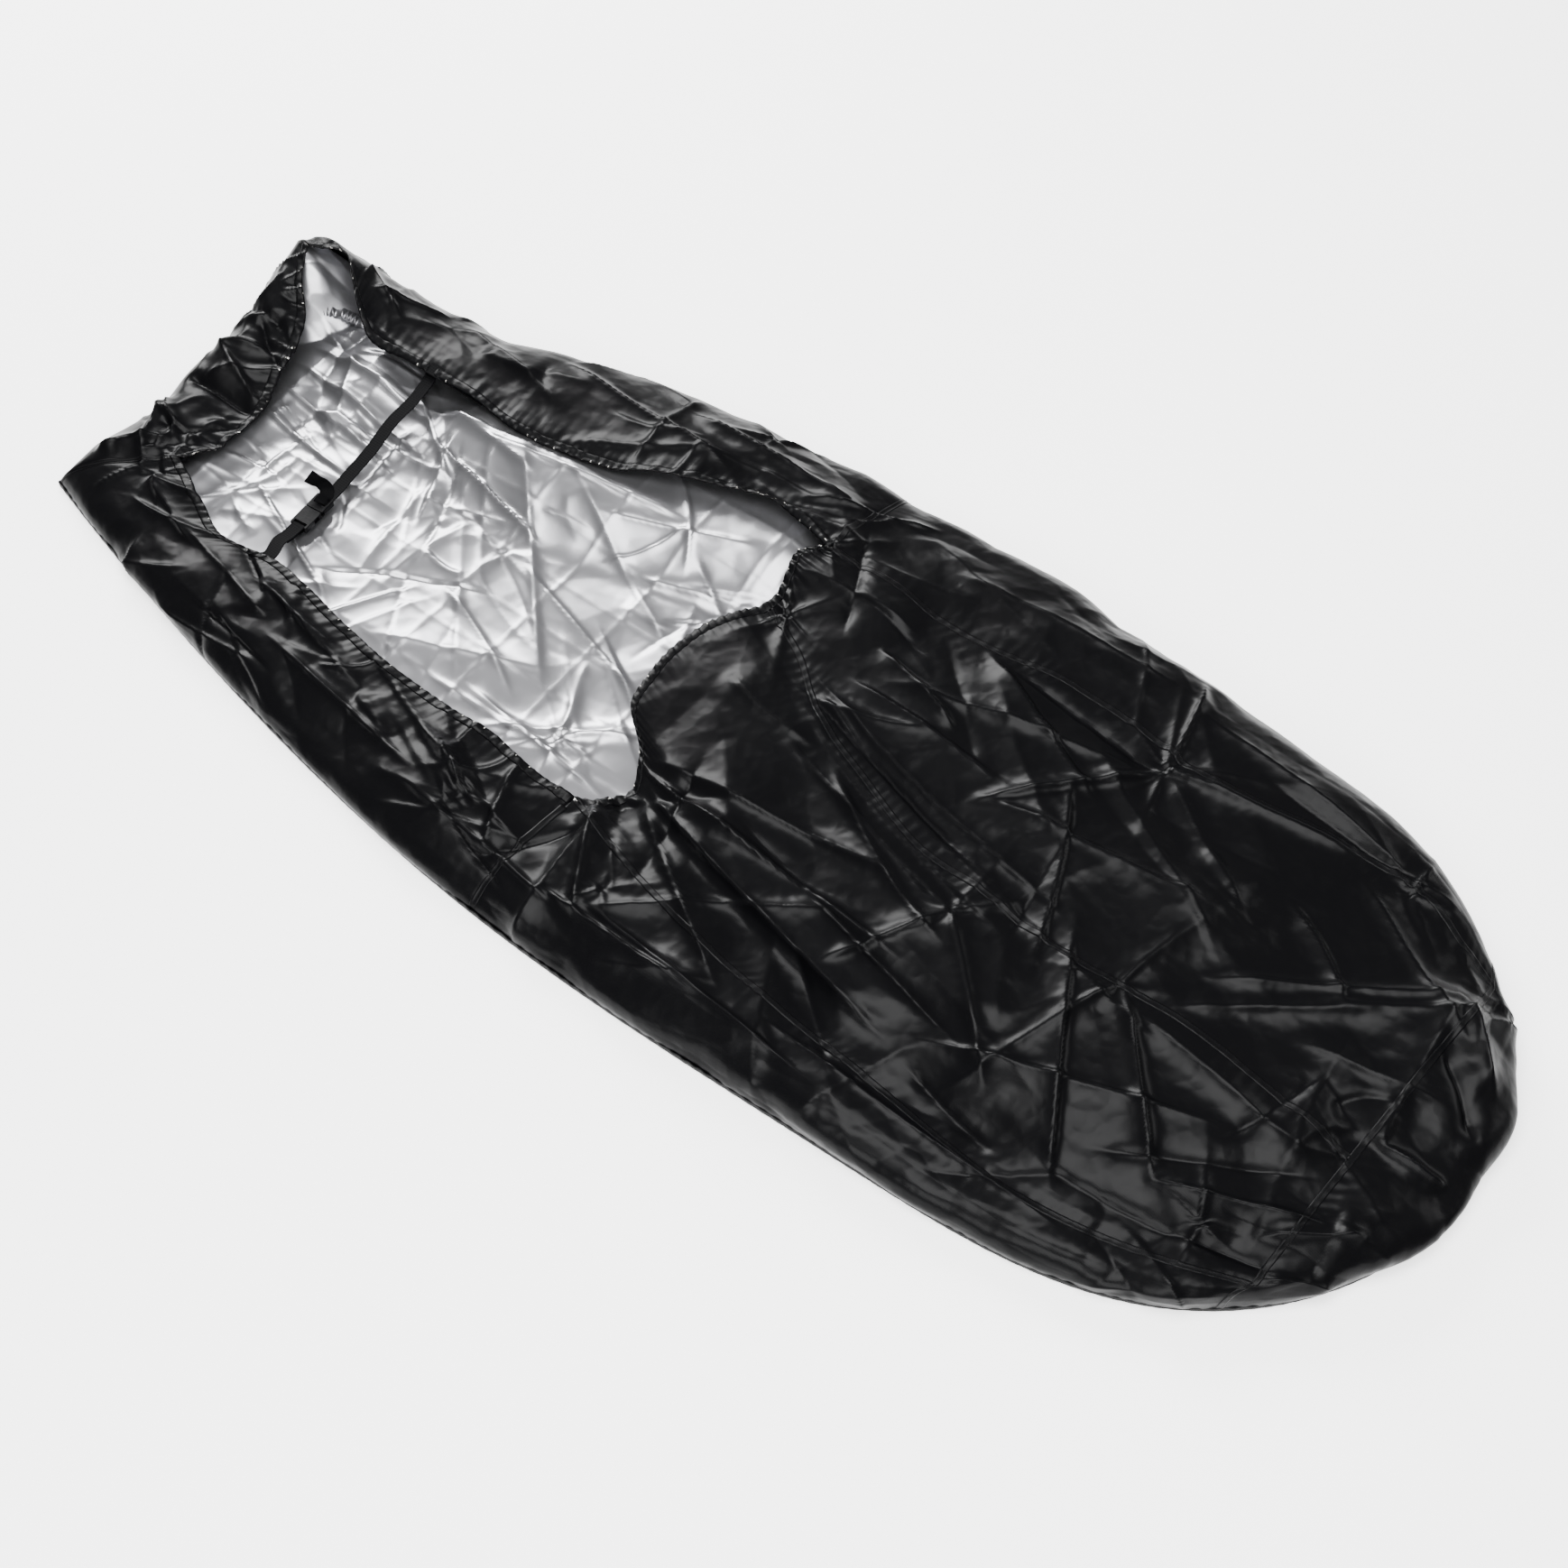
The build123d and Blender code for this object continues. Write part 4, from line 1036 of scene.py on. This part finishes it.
@dataclass
class Webbing:
    """A woven strap laid along a line, with a thicker selvedge at both edges."""

    width: float = 20.0                # millimetres
    thick: float = 1.6

    def laid(self, name: str, knots: list, side: Array, twist: tuple[float, float] = (0.0, 0.0)) -> bpy.types.Object:
        """Sweeps the strap's section along a smooth line.

        Args:
            name: Piece name.
            knots: Points that its middle follows, in metres.
            side: The direction that it is wide in.
            twist: How far it is turned about its own line at its start and end, in degrees.

        Returns:
            The strap.
        """
        line = smooth_line(knots, max(20, int(run_of(np.asarray(knots, float))[-1] / 0.0012)))
        way = unit(np.gradient(line, axis=0))
        across = unit(side - way * (way @ side)[:, None])
        up = np.cross(way, across)
        turn = np.radians(np.linspace(*twist, len(line)))[:, None]
        across, up = across * np.cos(turn) + up * np.sin(turn), up * np.cos(turn) - across * np.sin(turn)
        w, t = self.width / 2 * MM, self.thick / 2 * MM
        half = np.array([(-1.0, 0.0), (-0.97, 0.9), (-0.86, 1.05), (-0.78, 0.8), (-0.4, 0.85), (0.0, 0.88),
                         (0.4, 0.85), (0.78, 0.8), (0.86, 1.05), (0.97, 0.9)])
        profile = np.vstack((half, -half)) * (w, t)
        rings = sweep(line, across, up, profile)
        s = run_of(line)
        scallop = 1 + 0.014 * np.sin(2 * np.pi * s / 0.0042)[:, None, None]
        rings = line[:, None] + (rings - line[:, None]) * scallop
        return closed_sweep(name, rings)


def turned(middle: tuple[float, float], radius: float, start: float, end: float, count: int = 7) -> list:
    """Points of an arc in the strap's side view, in millimetres: along the strap, and height."""
    angles = np.radians(np.linspace(start, end, count))
    return [(middle[0] + radius * math.cos(a), middle[1] + radius * math.sin(a)) for a in angles]


class StrapFrame:
    """The strap's own directions: along it from plug to socket, and across it."""

    def __init__(self) -> None:
        """Reads the buckle's place and the slide's direction from the frame."""
        slide = next(j for j in frame["joints"] if j["name"] == "plug_unclip")
        self.way = -np.array(slide["axis"][:3], float)
        self.way /= np.linalg.norm(self.way)
        self.side = np.array((-self.way[1], self.way[0], 0.0))
        lo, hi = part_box("buckle_socket")
        self.height = (lo.z + hi.z) / 2
        self.mouth = np.array((*SOCKET_MOUTH, 0.0))

    def at(self, along: float, height: float, side: float = 0.0) -> Array:
        """A place from its distance past the socket's mouth, height and distance to the side, in millimetres."""
        return self.mouth + self.way * along * MM + self.side * side * MM + np.array((0, 0, height * MM))


@dataclass
class Sack:
    """All the fabric: floor, side and top panels, seams, tapes and hems."""

    side_rows: int = 74
    top_rows: int = 94
    foot_rows: int = 44
    step: float = 3.4                  # spacing of the points along the sack, millimetres
    panels: dict = field(default_factory=dict)

    def count(self, line: list) -> int:
        """Points needed along a line at the sack's spacing."""
        return int(run_of(np.asarray(line, float))[-1] / (self.step * MM))

    def shape(self) -> None:
        """Works out every panel. Neighbours share the points of their common edge before the crumple."""
        heel = (FOOT_SEAM_X, -0.30), (FOOT_SEAM_X, 0.30)
        cross = (-0.112, -0.437), (-0.098, 0.438)
        n = self.count(HEM_RIGHT)
        right_head = SidePanel("right_side_head_panel", RIM.part(CORNER_RIGHT, cross[0], n),
                               smooth_line(HEM_RIGHT, n), self.side_rows, gathered=0.0006)
        n = self.count(HEM_LEFT)
        left_head = SidePanel("left_side_head_panel", RIM.part(cross[1], CORNER_LEFT, n)[::-1],
                              smooth_line(HEM_LEFT, n), self.side_rows, gathered=0.0006)
        n = self.count(HEM_HEAD)
        head = SidePanel("head_end_panel", RIM.part(CORNER_LEFT, CORNER_RIGHT, n)[::-1],
                         smooth_line(HEM_HEAD, n), self.side_rows, roll=0.020, gathered=0.0006)
        n = self.count(TOP_RIGHT)
        top_right, top_left = smooth_line(TOP_RIGHT, n), smooth_line(TOP_LEFT, n)
        centre = smooth_line(CENTRE, n)
        right_foot = SidePanel("right_side_foot_panel", RIM.part(cross[0], heel[0], n), top_right, self.side_rows)
        left_foot = SidePanel("left_side_foot_panel", RIM.part(heel[1], cross[1], n)[::-1], top_left, self.side_rows)
        hem = smooth_line(HEM_FOOT, 600)
        split = int(np.argmin(np.linalg.norm(hem - centre[0], axis=1)))
        centre[0] = hem[split]
        hem_right, hem_left = resampled(hem[:split + 1], self.top_rows), resampled(hem[split:], self.top_rows)[::-1]
        heel_right = smooth_line([top_right[-1], (FOOT_SEAM_X, -0.17, 0.058), centre[-1]], self.top_rows)
        heel_left = smooth_line([top_left[-1], (FOOT_SEAM_X, 0.10, 0.062), centre[-1]], self.top_rows)
        cover_right = TopPanel("top_right_panel", top_right, centre, hem_right, heel_right)
        cover_left = TopPanel("top_left_panel", top_left, centre, hem_left, heel_left)
        v = np.linspace(0, 1, self.side_rows)[:, None]
        inward, upward = side_profile(v)
        ends = [np.hstack((p[0][-1][:2] * (1 - inward) + p[1][-1][:2] * inward,
                           p[0][-1][2:] * (1 - upward) + p[1][-1][2:] * upward))
                for p in ((right_foot.rim, top_right), (left_foot.rim, top_left))]
        heel_line = np.vstack((ends[0][:-1], heel_right[:-1], heel_left[::-1][:-1], ends[1][::-1]))
        foot = SidePanel("foot_end_panel", RIM.part(*heel, len(heel_line)), heel_line, self.foot_rows,
                         belly=0.026, roll=0.004)
        self.panels = {p.name: p for p in (right_head, left_head, head, right_foot, left_foot, cover_right,
                                           cover_left, foot)}

    def edge(self, name: str, which: Edge) -> Array:
        """A panel's points arranged with one of its edges as the first column.

        Args:
            name: The panel.
            which: The edge.

        Returns:
            The points, edge first.
        """
        grid = self.panels[name].grid
        if which is Edge.TOP:
            return grid[:, ::-1]
        if which is Edge.RIM:
            return grid
        turned_grid = np.swapaxes(grid, 0, 1)
        return turned_grid if which is Edge.START else turned_grid[:, ::-1]

    def make(self, black: bpy.types.Material, silver: bpy.types.Material) -> list[bpy.types.Object]:
        """Builds the eight black panels and sets each on the sack.

        Args:
            black: Material of the outside.
            silver: Material of the inside.

        Returns:
            The panels.
        """
        made = []
        for name, panel in self.panels.items():
            piece = fabric(name.replace("panel", "fabric"), panel.grid, panel.flat, (black, silver), Vector((0, 0, 1)))
            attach(piece, SACK)
            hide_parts(name)
            made.append(piece)
        return made


@dataclass
class Floor:
    """The floor sheet, silver side up, in its own crumples."""

    coarse: float = 4.2
    middle: float = 2.6
    fine: float = 0.9
    packed: int = 9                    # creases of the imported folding, each way
    far_climb: float = 0.040           # how far it is drawn up at its far side, in metres
    head_climb: float = 0.020          # at the head
    corner_climb: float = 0.118        # and in the standing corner
    rows: int = 248

    def grid(self) -> tuple[Array, Array]:
        """Blends the rim's four sides into a grid, finer where the opening shows it, and adds the crumple.

        Returns:
            The crumpled points, and the same points before the crumple.
        """
        right = RIM.part(CORNER_RIGHT, (0.985, -0.20), 1500)
        left = RIM.part((0.985, 0.20), CORNER_LEFT, 1500)[::-1]
        shares = np.concatenate((np.linspace(0, 0.49, 326), np.linspace(0.49, 1, 50)[1:]))
        at = np.linspace(0, 1, 1500)
        right, left = [np.column_stack([np.interp(shares, at, side[:, k]) for k in range(3)]) for side in (right, left)]
        head = RIM.part(CORNER_LEFT, CORNER_RIGHT, self.rows)[::-1]
        foot = RIM.part((0.985, -0.20), (0.985, 0.20), self.rows)
        u, v = shares[:, None, None], np.linspace(0, 1, self.rows)[None, :, None]
        base = ((1 - v) * right[:, None] + v * left[:, None] + (1 - u) * head[None] + u * foot[None]
                - ((1 - u) * (1 - v) * right[0] + (1 - u) * v * left[0] + u * (1 - v) * right[-1]
                   + u * v * left[-1]))
        q = base[..., :2]
        edge = np.minimum(np.minimum(v, 1 - v) * 26, np.minimum(u * 50, (1 - u) * 20))[..., 0]
        high = self.crumpled(q) + self.climb(q, u[..., 0], v[..., 0])
        level = base.copy()
        base[..., 2] = 0.0014 + high * np.clip(edge, 0, 1)
        return base, level

    def crumpled(self, q: Array) -> Array:
        """Height of the crumples: facets, folds and packing creases, eased off near the ground and under the buckle.

        Args:
            q: Places on the floor, in metres.

        Returns:
            Heights, in metres.
        """
        high = self.coarse * crumple(q, 0.150, 33.0, -40, 1.7) + self.middle * crumple(q, 0.070, 38.0, 20, 1.6)
        high = (high + self.fine * crumple(q, 0.034, 41.0, -30, 1.5)) * MM
        for made in (*FLOOR_FOLDS, *FLOOR_PINCHES):
            high = high + made.rise(q)
        for k in range(self.packed):
            across = q[..., 0] + 0.90 - 0.105 * k + 0.05 * q[..., 1]
            along = q[..., 1] + 0.26 - 0.075 * k - 0.03 * q[..., 0]
            high = high + 0.0011 * np.exp(-np.abs(across) / 0.004) + 0.0010 * np.exp(-np.abs(along) / 0.004)
        high = 0.0065 + high
        high = np.where(high < 0.0015, 0.0015 + 0.12 * np.abs(high - 0.0015), high)
        near_buckle = np.exp(-((q[..., 0] + 0.72) / 0.06) ** 2 - ((q[..., 1] + 0.09) / 0.08) ** 2)
        return np.minimum(high, 0.026 - 0.012 * near_buckle)

    def climb(self, q: Array, u: Array, v: Array) -> Array:
        """How far the sheet is drawn up: along the far side, towards the head, and right up the standing corner.

        Args:
            q: Places on the floor, in metres.
            u: Share of the way from head to foot.
            v: Share of the way from right to left.

        Returns:
            Heights, in metres.
        """
        x, y = q[..., 0], q[..., 1]
        far = eased((y - 0.02 - 0.10 * np.clip((x + 0.5) / 0.35, 0, 1)) / 0.13)
        under_strap = 1 - 0.60 * np.exp(-((x + 0.735) / 0.07) ** 2)
        mouth = np.clip((-0.06 - x) / 0.1, 0, 1) * np.clip((x + 0.93) / 0.1, 0, 1)
        high = np.maximum(self.far_climb * under_strap * far * mouth, self.head_climb * eased((-0.83 - x) / 0.09))
        high = high * np.clip((1 - v) * 7, 0, 1) * np.clip(u * 14, 0, 1)
        corner = np.clip(1 - np.hypot(x + 1.030, y - 0.212) / 0.135, 0, 1)
        crisp = 1 + 0.10 * crumple(q, 0.03, 61.0, 30, 2.0)
        inside = np.clip((1 - v) * 45, 0, 1) * np.clip(u * 70, 0, 1)
        return np.maximum(high, self.corner_climb * corner**1.15 * crisp * inside)

    def make(self, silver: bpy.types.Material, black: bpy.types.Material) -> bpy.types.Object:
        """Args:
            silver: Material of its upper face.
            black: Material of its underside.

        Returns:
            The sheet.
        """
        grid, level = self.grid()
        piece = mesh_piece("floor_fabric", grid, grid_faces(*grid.shape[:2]), level[..., :2])
        dressed(piece, silver, "silver_coated_fabric", "floor_panel")
        under = level[::6, ::6].copy()
        under[..., 2] = 0.0008
        face = mesh_piece("floor_underside", under, grid_faces(*under.shape[:2])[:, ::-1], under[..., :2])
        dressed(face, black, "black_coated_fabric")
        return piece


@dataclass
class Trim:
    """Seams, floor tapes, hems, elastic and stitching on a shaped sack."""

    sack: Sack
    hems: dict = field(default_factory=dict)

    def seams(self, finish: bpy.types.Material, thread: bpy.types.Material) -> list[bpy.types.Object]:
        """Builds the felled seams and all of their stitches.

        Args:
            finish: Material of the seams.
            thread: Material of the stitches.

        Returns:
            The seam pieces and the stitching.
        """
        e = self.sack.edge
        heel = self.sack.panels["foot_end_panel"].grid[:, ::-1]
        plan = [("right_cross_seam", e("right_side_head_panel", Edge.END), e("right_side_foot_panel", Edge.START)),
                ("left_cross_seam", e("left_side_head_panel", Edge.END), e("left_side_foot_panel", Edge.START)),
                ("right_top_seam", e("right_side_foot_panel", Edge.TOP), e("top_right_panel", Edge.RIM)),
                ("left_top_seam", e("left_side_foot_panel", Edge.TOP), e("top_left_panel", Edge.RIM)),
                ("centre_seam", e("top_right_panel", Edge.TOP), e("top_left_panel", Edge.TOP)),
                ("left_corner_seam", e("left_side_head_panel", Edge.START), e("head_end_panel", Edge.END)),
                ("right_corner_seam", e("right_side_head_panel", Edge.START), e("head_end_panel", Edge.START)),
                ("foot_end_seam", heel, self.heel_side())]
        made, rows = [], []
        for name, one, other in plan:
            skip = 4 if "cross" in name or "corner" in name else 1
            seam = Seam(name, one[skip:-skip], other[skip:-skip])
            piece = closed_sweep(name.replace("seam", "felled_seam"), seam.rings())
            made.append(dressed(piece, finish, "seam_fabric", name))
            rows += seam.stitch_rows()
        rows += [hem.stitch_row() for hem in self.hems.values()]
        made.append(dressed(stitches("seam_stitches", rows), thread, "thread"))
        return made

    def heel_side(self) -> Array:
        """The four panels that end at the foot seam, as one strip whose first column is that seam."""
        e = self.sack.edge
        parts = [e("right_side_foot_panel", Edge.END)[:-1], e("top_right_panel", Edge.END)[:-1],
                 e("top_left_panel", Edge.END)[::-1][:-1], e("left_side_foot_panel", Edge.END)[::-1]]
        depth = min(p.shape[1] for p in parts)
        return np.concatenate([p[:, :depth] for p in parts])

    def tapes(self, finish: bpy.types.Material, silver: bpy.types.Material) -> list[bpy.types.Object]:
        """Builds the tape folded over the floor edge, and the ruched seam inside the standing corner.

        Args:
            finish: Material of the tape.
            silver: Material of the inner seam.

        Returns:
            The three tapes and the inner seam.
        """
        parts = {"right_floor_tape": ((-0.996, -0.30), (1.056, -0.001)),
                 "left_floor_tape": ((1.056, 0.001), (-0.996, 0.27)),
                 "head_floor_tape": ((-0.996, 0.27), (-0.996, -0.30))}
        made = []
        for name, (start, end) in parts.items():
            if name == "head_floor_tape":
                line = np.vstack((RIM.part(start, CORNER_LEFT, 30), RIM.part(CORNER_LEFT, CORNER_RIGHT, 130)[1:],
                                  RIM.part(CORNER_RIGHT, end, 30)[1:]))
            else:
                line = RIM.part(start, end, 560)
            way = unit(np.gradient(line, axis=0))
            out = np.cross(way, (0.0, 0.0, 1.0))
            t = run_of(line)
            sway = 0.0007 * gathers(t, 0.019, 2, 31)[:, None, None]
            profile = np.array([(-0.2, -2.4), (0.9, -2.4), (1.5, -1.6), (1.3, 1.5), (1.5, 4.6), (0.9, 5.8),
                                (-0.2, 5.2)]) * MM
            rings = sweep(line, out, np.broadcast_to((0.0, 0.0, 1.0), line.shape), profile)
            rings = rings + out[:, None] * sway * np.clip(profile[:, 1] / 0.005 + 0.6, 0, 1)[None, :, None]
            made.append(dressed(closed_sweep(name.replace("tape", "binding"), rings), finish, "binding_tape", name))
        line = smooth_line([(-1.000, 0.110, 0.028), (-0.985, 0.145, 0.036), (-0.968, 0.166, 0.040),
                            (-0.945, 0.184, 0.040), (-0.915, 0.194, 0.034), (-0.880, 0.205, 0.024)], 300)
        way = unit(np.gradient(line, axis=0))
        out = np.cross(way, (0.0, 0.0, 1.0))
        t = run_of(line)
        pleat = gathers(t, 0.009, 2.4, 160)[:, None, None]
        profile = np.array([(-10.0, 0.3), (-6.0, 4.2), (0.0, 6.5), (6.0, 4.0), (10.0, 0.2), (4.0, -4.0),
                            (-4.0, -4.0)]) * MM
        rings = sweep(line, out, np.broadcast_to((0.0, 0.0, 1.0), line.shape), profile)
        rings[..., 2] += 0.0020 * pleat[..., 0] * (profile[:, 1] > 0)
        rings[..., :2] += way[:, None, :2] * 0.002 * pleat * (profile[:, 0] / 0.01)[None, :, None]
        made.append(dressed(closed_sweep("ruched_inner_seam", rings), silver, "silver_coated_fabric"))
        return made

    def casings(self, finish: bpy.types.Material, rubber: bpy.types.Material) -> list[bpy.types.Object]:
        """Builds the four gathered hems and the one elastic that runs through them.

        Args:
            finish: Material of the hems.
            rubber: Material of the elastic.

        Returns:
            The hems and the elastic.
        """
        e = self.sack.edge
        right, left = self.sack.panels["top_right_panel"].grid, self.sack.panels["top_left_panel"].grid
        foot = np.concatenate((np.swapaxes(right, 0, 1)[:-1], np.swapaxes(left, 0, 1)[::-1]))[:, :12]
        strips = {"right_hem": e("right_side_head_panel", Edge.TOP), "left_hem": e("left_side_head_panel", Edge.TOP),
                  "head_hem": e("head_end_panel", Edge.TOP), "foot_hem": foot}
        made = []
        for name, strip in strips.items():
            hem = Hem(name, strip)
            self.hems[name] = hem
            piece = closed_sweep(name.replace("hem", "hem_casing"), hem.rings(13.0, 1.1, 0.4))
            made.append(dressed(piece, finish, "hem_fabric", name))
        order = (("right_hem", 1), ("foot_hem", 1), ("left_hem", -1), ("head_hem", -1))
        rings = np.concatenate([self.hems[n].rings(9.0, 0.7, 1.0)[::way] for n, way in order])
        faces = grid_faces(len(rings) + 1, rings.shape[1], closed_rows=True) % (len(rings) * rings.shape[1])
        band = mesh_piece("elastic_band", rings + np.array((0.0, 0.0, -0.0002)), faces)
        made.append(dressed(band, rubber, "elastic", "hem_elastic"))
        return made


def dressed(piece: bpy.types.Object, finish: bpy.types.Material, slot: str, *nodes: str,
            body: str | None = SACK) -> bpy.types.Object:
    """Gives a piece its material and body, and hides the CAD nodes that it stands for.

    Args:
        piece: The piece.
        finish: Its material.
        slot: The record's material slot. Not used.
        nodes: CAD nodes that it replaces.
        body: The body that it rides on, or None for a piece that rides on no body.

    Returns:
        The same piece.
    """
    piece.data.materials.clear()
    piece.data.materials.append(finish)
    if body:
        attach(piece, body)
    if nodes:
        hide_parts(*nodes)
    return piece


@dataclass
class Strap:
    """The adjustable strap across the opening, with the buckle that joins its two parts."""

    hems: dict
    web: Webbing = field(default_factory=Webbing)

    def make(self, nylon: bpy.types.Material, thread: bpy.types.Material,
             plastic: bpy.types.Material) -> list[bpy.types.Object]:
        """Lays both straps, the tabs, the loose tail and the bartacks, and dresses the buckle.

        Args:
            nylon: Material of the webbing.
            thread: Material of the bartacks.
            plastic: Material of the buckle.

        Returns:
            The pieces.
        """
        way = StrapFrame()
        mid = way.height / MM
        right, along_r, into_r, up_r = self.hems["right_hem"].nearest(-0.700)
        left, along_l, into_l, up_l = self.hems["left_hem"].nearest(-0.742)
        anchor, *_ = self.hems["left_hem"].nearest(-0.655)
        made = []
        short = [right + into_r * 0.012 - up_r * 0.0045, right - into_r * 0.004 - up_r * 0.0045]
        short += [way.at(s, z) for s, z in ((72, 35.5), (56, 31.0), (45, 29.6), (37, 29.2))]
        short += [way.at(s, z) for s, z in turned((33.0, mid), 3.2, 90, 270)]
        short += [way.at(s, z) for s, z in ((38, 23.4), (46, 26.6), (56, 28.4), (68, 31.8))]
        made.append(dressed(self.web.laid("short_webbing", short, way.side), nylon, "webbing", "short_strap"))
        far = [left + into_l * 0.012 - up_l * 0.005, left - into_l * 0.006 - up_l * 0.006,
               way.at(-232, 50.0, 4.0), way.at(-180, 41.0, -1.5), way.at(-125, 32.0, 1.0), way.at(-80, 25.5, -0.5),
               way.at(-50, 23.0), way.at(-36, 22.8), way.at(-28.5, 22.8)]
        strap = self.web.laid("long_webbing", far, way.side, (8.0, 0.0))
        dressed(strap, nylon, "webbing", "long_strap", body=None)
        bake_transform(strap)
        made.append(strap)
        tail = [way.at(s, z) for s, z in ((-28.5, 22.8), (-22, 22.8), (-18, 22.8))]
        tail += [way.at(s, z) for s, z in turned((-17.4, mid), 3.2, -80, 90)]
        tail += [way.at(-21, 29.3), way.at(-29, 29.6, -1.0), way.at(-35, 34.0, -4.0), way.at(-35, 42.0, -10.0),
                 way.at(-30, 50.0, -18.0), way.at(-26, 58.0, -25.0)]
        made.append(dressed(self.web.laid("loose_webbing_tail", tail, way.side, (0.0, 70.0)), nylon, "webbing",
                            "strap_end", body=PLUG))
        tabs = (("right_webbing_tab", right, along_r, into_r, up_r, 0.015),
                ("left_webbing_tab", (left + anchor) / 2, along_l, into_l, up_l, 0.05))
        for name, place, along, into, up, reach in tabs:
            knots = [place + into * 0.008 - up * 0.0028 + along * reach * k for k in (-1, -0.5, 0, 0.5, 1)]
            made.append(dressed(self.web.laid(name, knots, into), nylon, "webbing",
                                name.replace("webbing_tab", "strap_tab")))
        rows = []
        for place, along, into, up in ((right, along_r, into_r, up_r), (left, along_l, into_l, up_l)):
            for k in (-1, 1):
                for j in range(5):
                    start = place + along * (k * 8.5 + 0.55 * (j - 2)) * MM + up * 2.6 * MM
                    line = np.linspace(start + into * 0.001, start + into * 0.013, 8)
                    rows.append((line, np.broadcast_to(up, line.shape)))
        tacks = stitches("strap_bartack_rows", rows, pitch=1.1, length=1.4, thick=0.8)
        made.append(dressed(tacks, thread, "thread", "strap_bartacks"))
        for name in ("buckle_socket", "buckle_plug", "buckle_left_arm", "buckle_right_arm"):
            node = frame["nodes"][name]
            node.data.materials.clear()
            node.data.materials.append(plastic)
        return made


@dataclass
class Studio:
    """Pale floor, big soft lights and the camera."""

    azimuth: float = 39.4
    elevation: float = 54.0
    distance: float = 3.7656
    target: tuple[float, float, float] = (0.064, -0.034, 0.0)
    lens: float = 67.2
    reach: float = 40.0                # half width of the floor, in metres

    def camera(self) -> None:
        """Places the camera on its bearing round the target and makes it the scene's own."""
        a, e = math.radians(self.azimuth), math.radians(self.elevation)
        back = Vector((math.sin(a) * math.cos(e), -math.cos(a) * math.cos(e), math.sin(e)))
        data = bpy.data.cameras.new("camera")
        data.lens, data.sensor_width = self.lens, 36.0
        camera = bpy.data.objects.new("camera", data)
        camera.location = Vector(self.target) + back * self.distance
        camera.rotation_euler = (-back).to_track_quat("-Z", "Y").to_euler()
        bpy.context.scene.collection.objects.link(camera)
        bpy.context.scene.camera = camera

    def light(self, name: str, place: tuple, size: tuple[float, float], power: float,
              aim: tuple = (0.0, 0.0, 0.0)) -> None:
        """Hangs a rectangular soft light that faces a point.

        Args:
            name: Light name.
            place: Where it hangs, in metres.
            size: Width and height, in metres.
            power: Watts.
            aim: The point that it faces.
        """
        data = bpy.data.lights.new(name, "AREA")
        data.shape, data.size, data.size_y, data.energy = "RECTANGLE", *size, power
        lamp = bpy.data.objects.new(name, data)
        lamp.location = place
        lamp.rotation_euler = (Vector(place) - Vector(aim)).to_track_quat("Z", "Y").to_euler()
        bpy.context.scene.collection.objects.link(lamp)

    def build(self) -> None:
        """Makes the world, the floor, the lights and the camera."""
        world = bpy.data.worlds.new("studio")
        bpy.context.scene.world = world
        world.use_nodes = True
        world.node_tree.nodes["Background"].inputs["Color"].default_value = (1, 1, 1, 1)
        world.node_tree.nodes["Background"].inputs["Strength"].default_value = 0.34
        plane = np.array([(-1, -1, 0), (1, -1, 0), (1, 1, 0), (-1, 1, 0)]) * self.reach + np.array((0, 0, -0.0006))
        ground = mesh_piece("ground", plane, np.array([(0, 1, 2, 3)]))
        paper = bpy.data.materials.new("white_paper_sweep")
        paper.use_nodes = True
        shader = paper.node_tree.nodes["Principled BSDF"]
        shader.inputs["Base Color"].default_value = linear("#f7f7f7")
        shader.inputs["Roughness"].default_value = 0.9
        shader.inputs["Specular IOR Level"].default_value = 0.1
        shader.inputs["Emission Color"].default_value = (1, 1, 1, 1)
        shader.inputs["Emission Strength"].default_value = 1.5
        ground.data.materials.append(paper)
        self.light("key", (-3.4, 2.0, 2.1), (2.6, 1.5), 430)
        self.light("rim", (2.2, 3.4, 1.9), (2.6, 1.2), 55)
        self.light("overhead", (0.5, -0.6, 4.2), (3.2, 2.4), 400)
        self.light("fill", (1.6, -3.6, 2.4), (3.5, 2.0), 290)
        self.camera()


def main() -> None:
    """Builds the studio and the sack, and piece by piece."""
    Studio().build()
    black, silver = BLACK_TAFFETA.made(), ALUMINISED_TAFFETA.made()
    thread, nylon = POLYESTER_THREAD.made(), NYLON_WEBBING.made()
    sack = Sack()
    sack.shape()
    made = sack.make(black, silver)
    made.append(Floor().make(silver, black))
    trim = Trim(sack)
    made += trim.casings(HEM_TAFFETA.made(), RUBBER_ELASTIC.made())
    made += trim.seams(SEAM_TAFFETA.made(), thread)
    made += trim.tapes(BINDING_TAPE.made(), silver)
    made += Strap(trim.hems).make(nylon, thread, ACETAL.made())
    for piece in made:
        LOG.info("%-28s %6d faces", piece.name, len(piece.data.polygons))


if __name__ == "__main__":
    main()
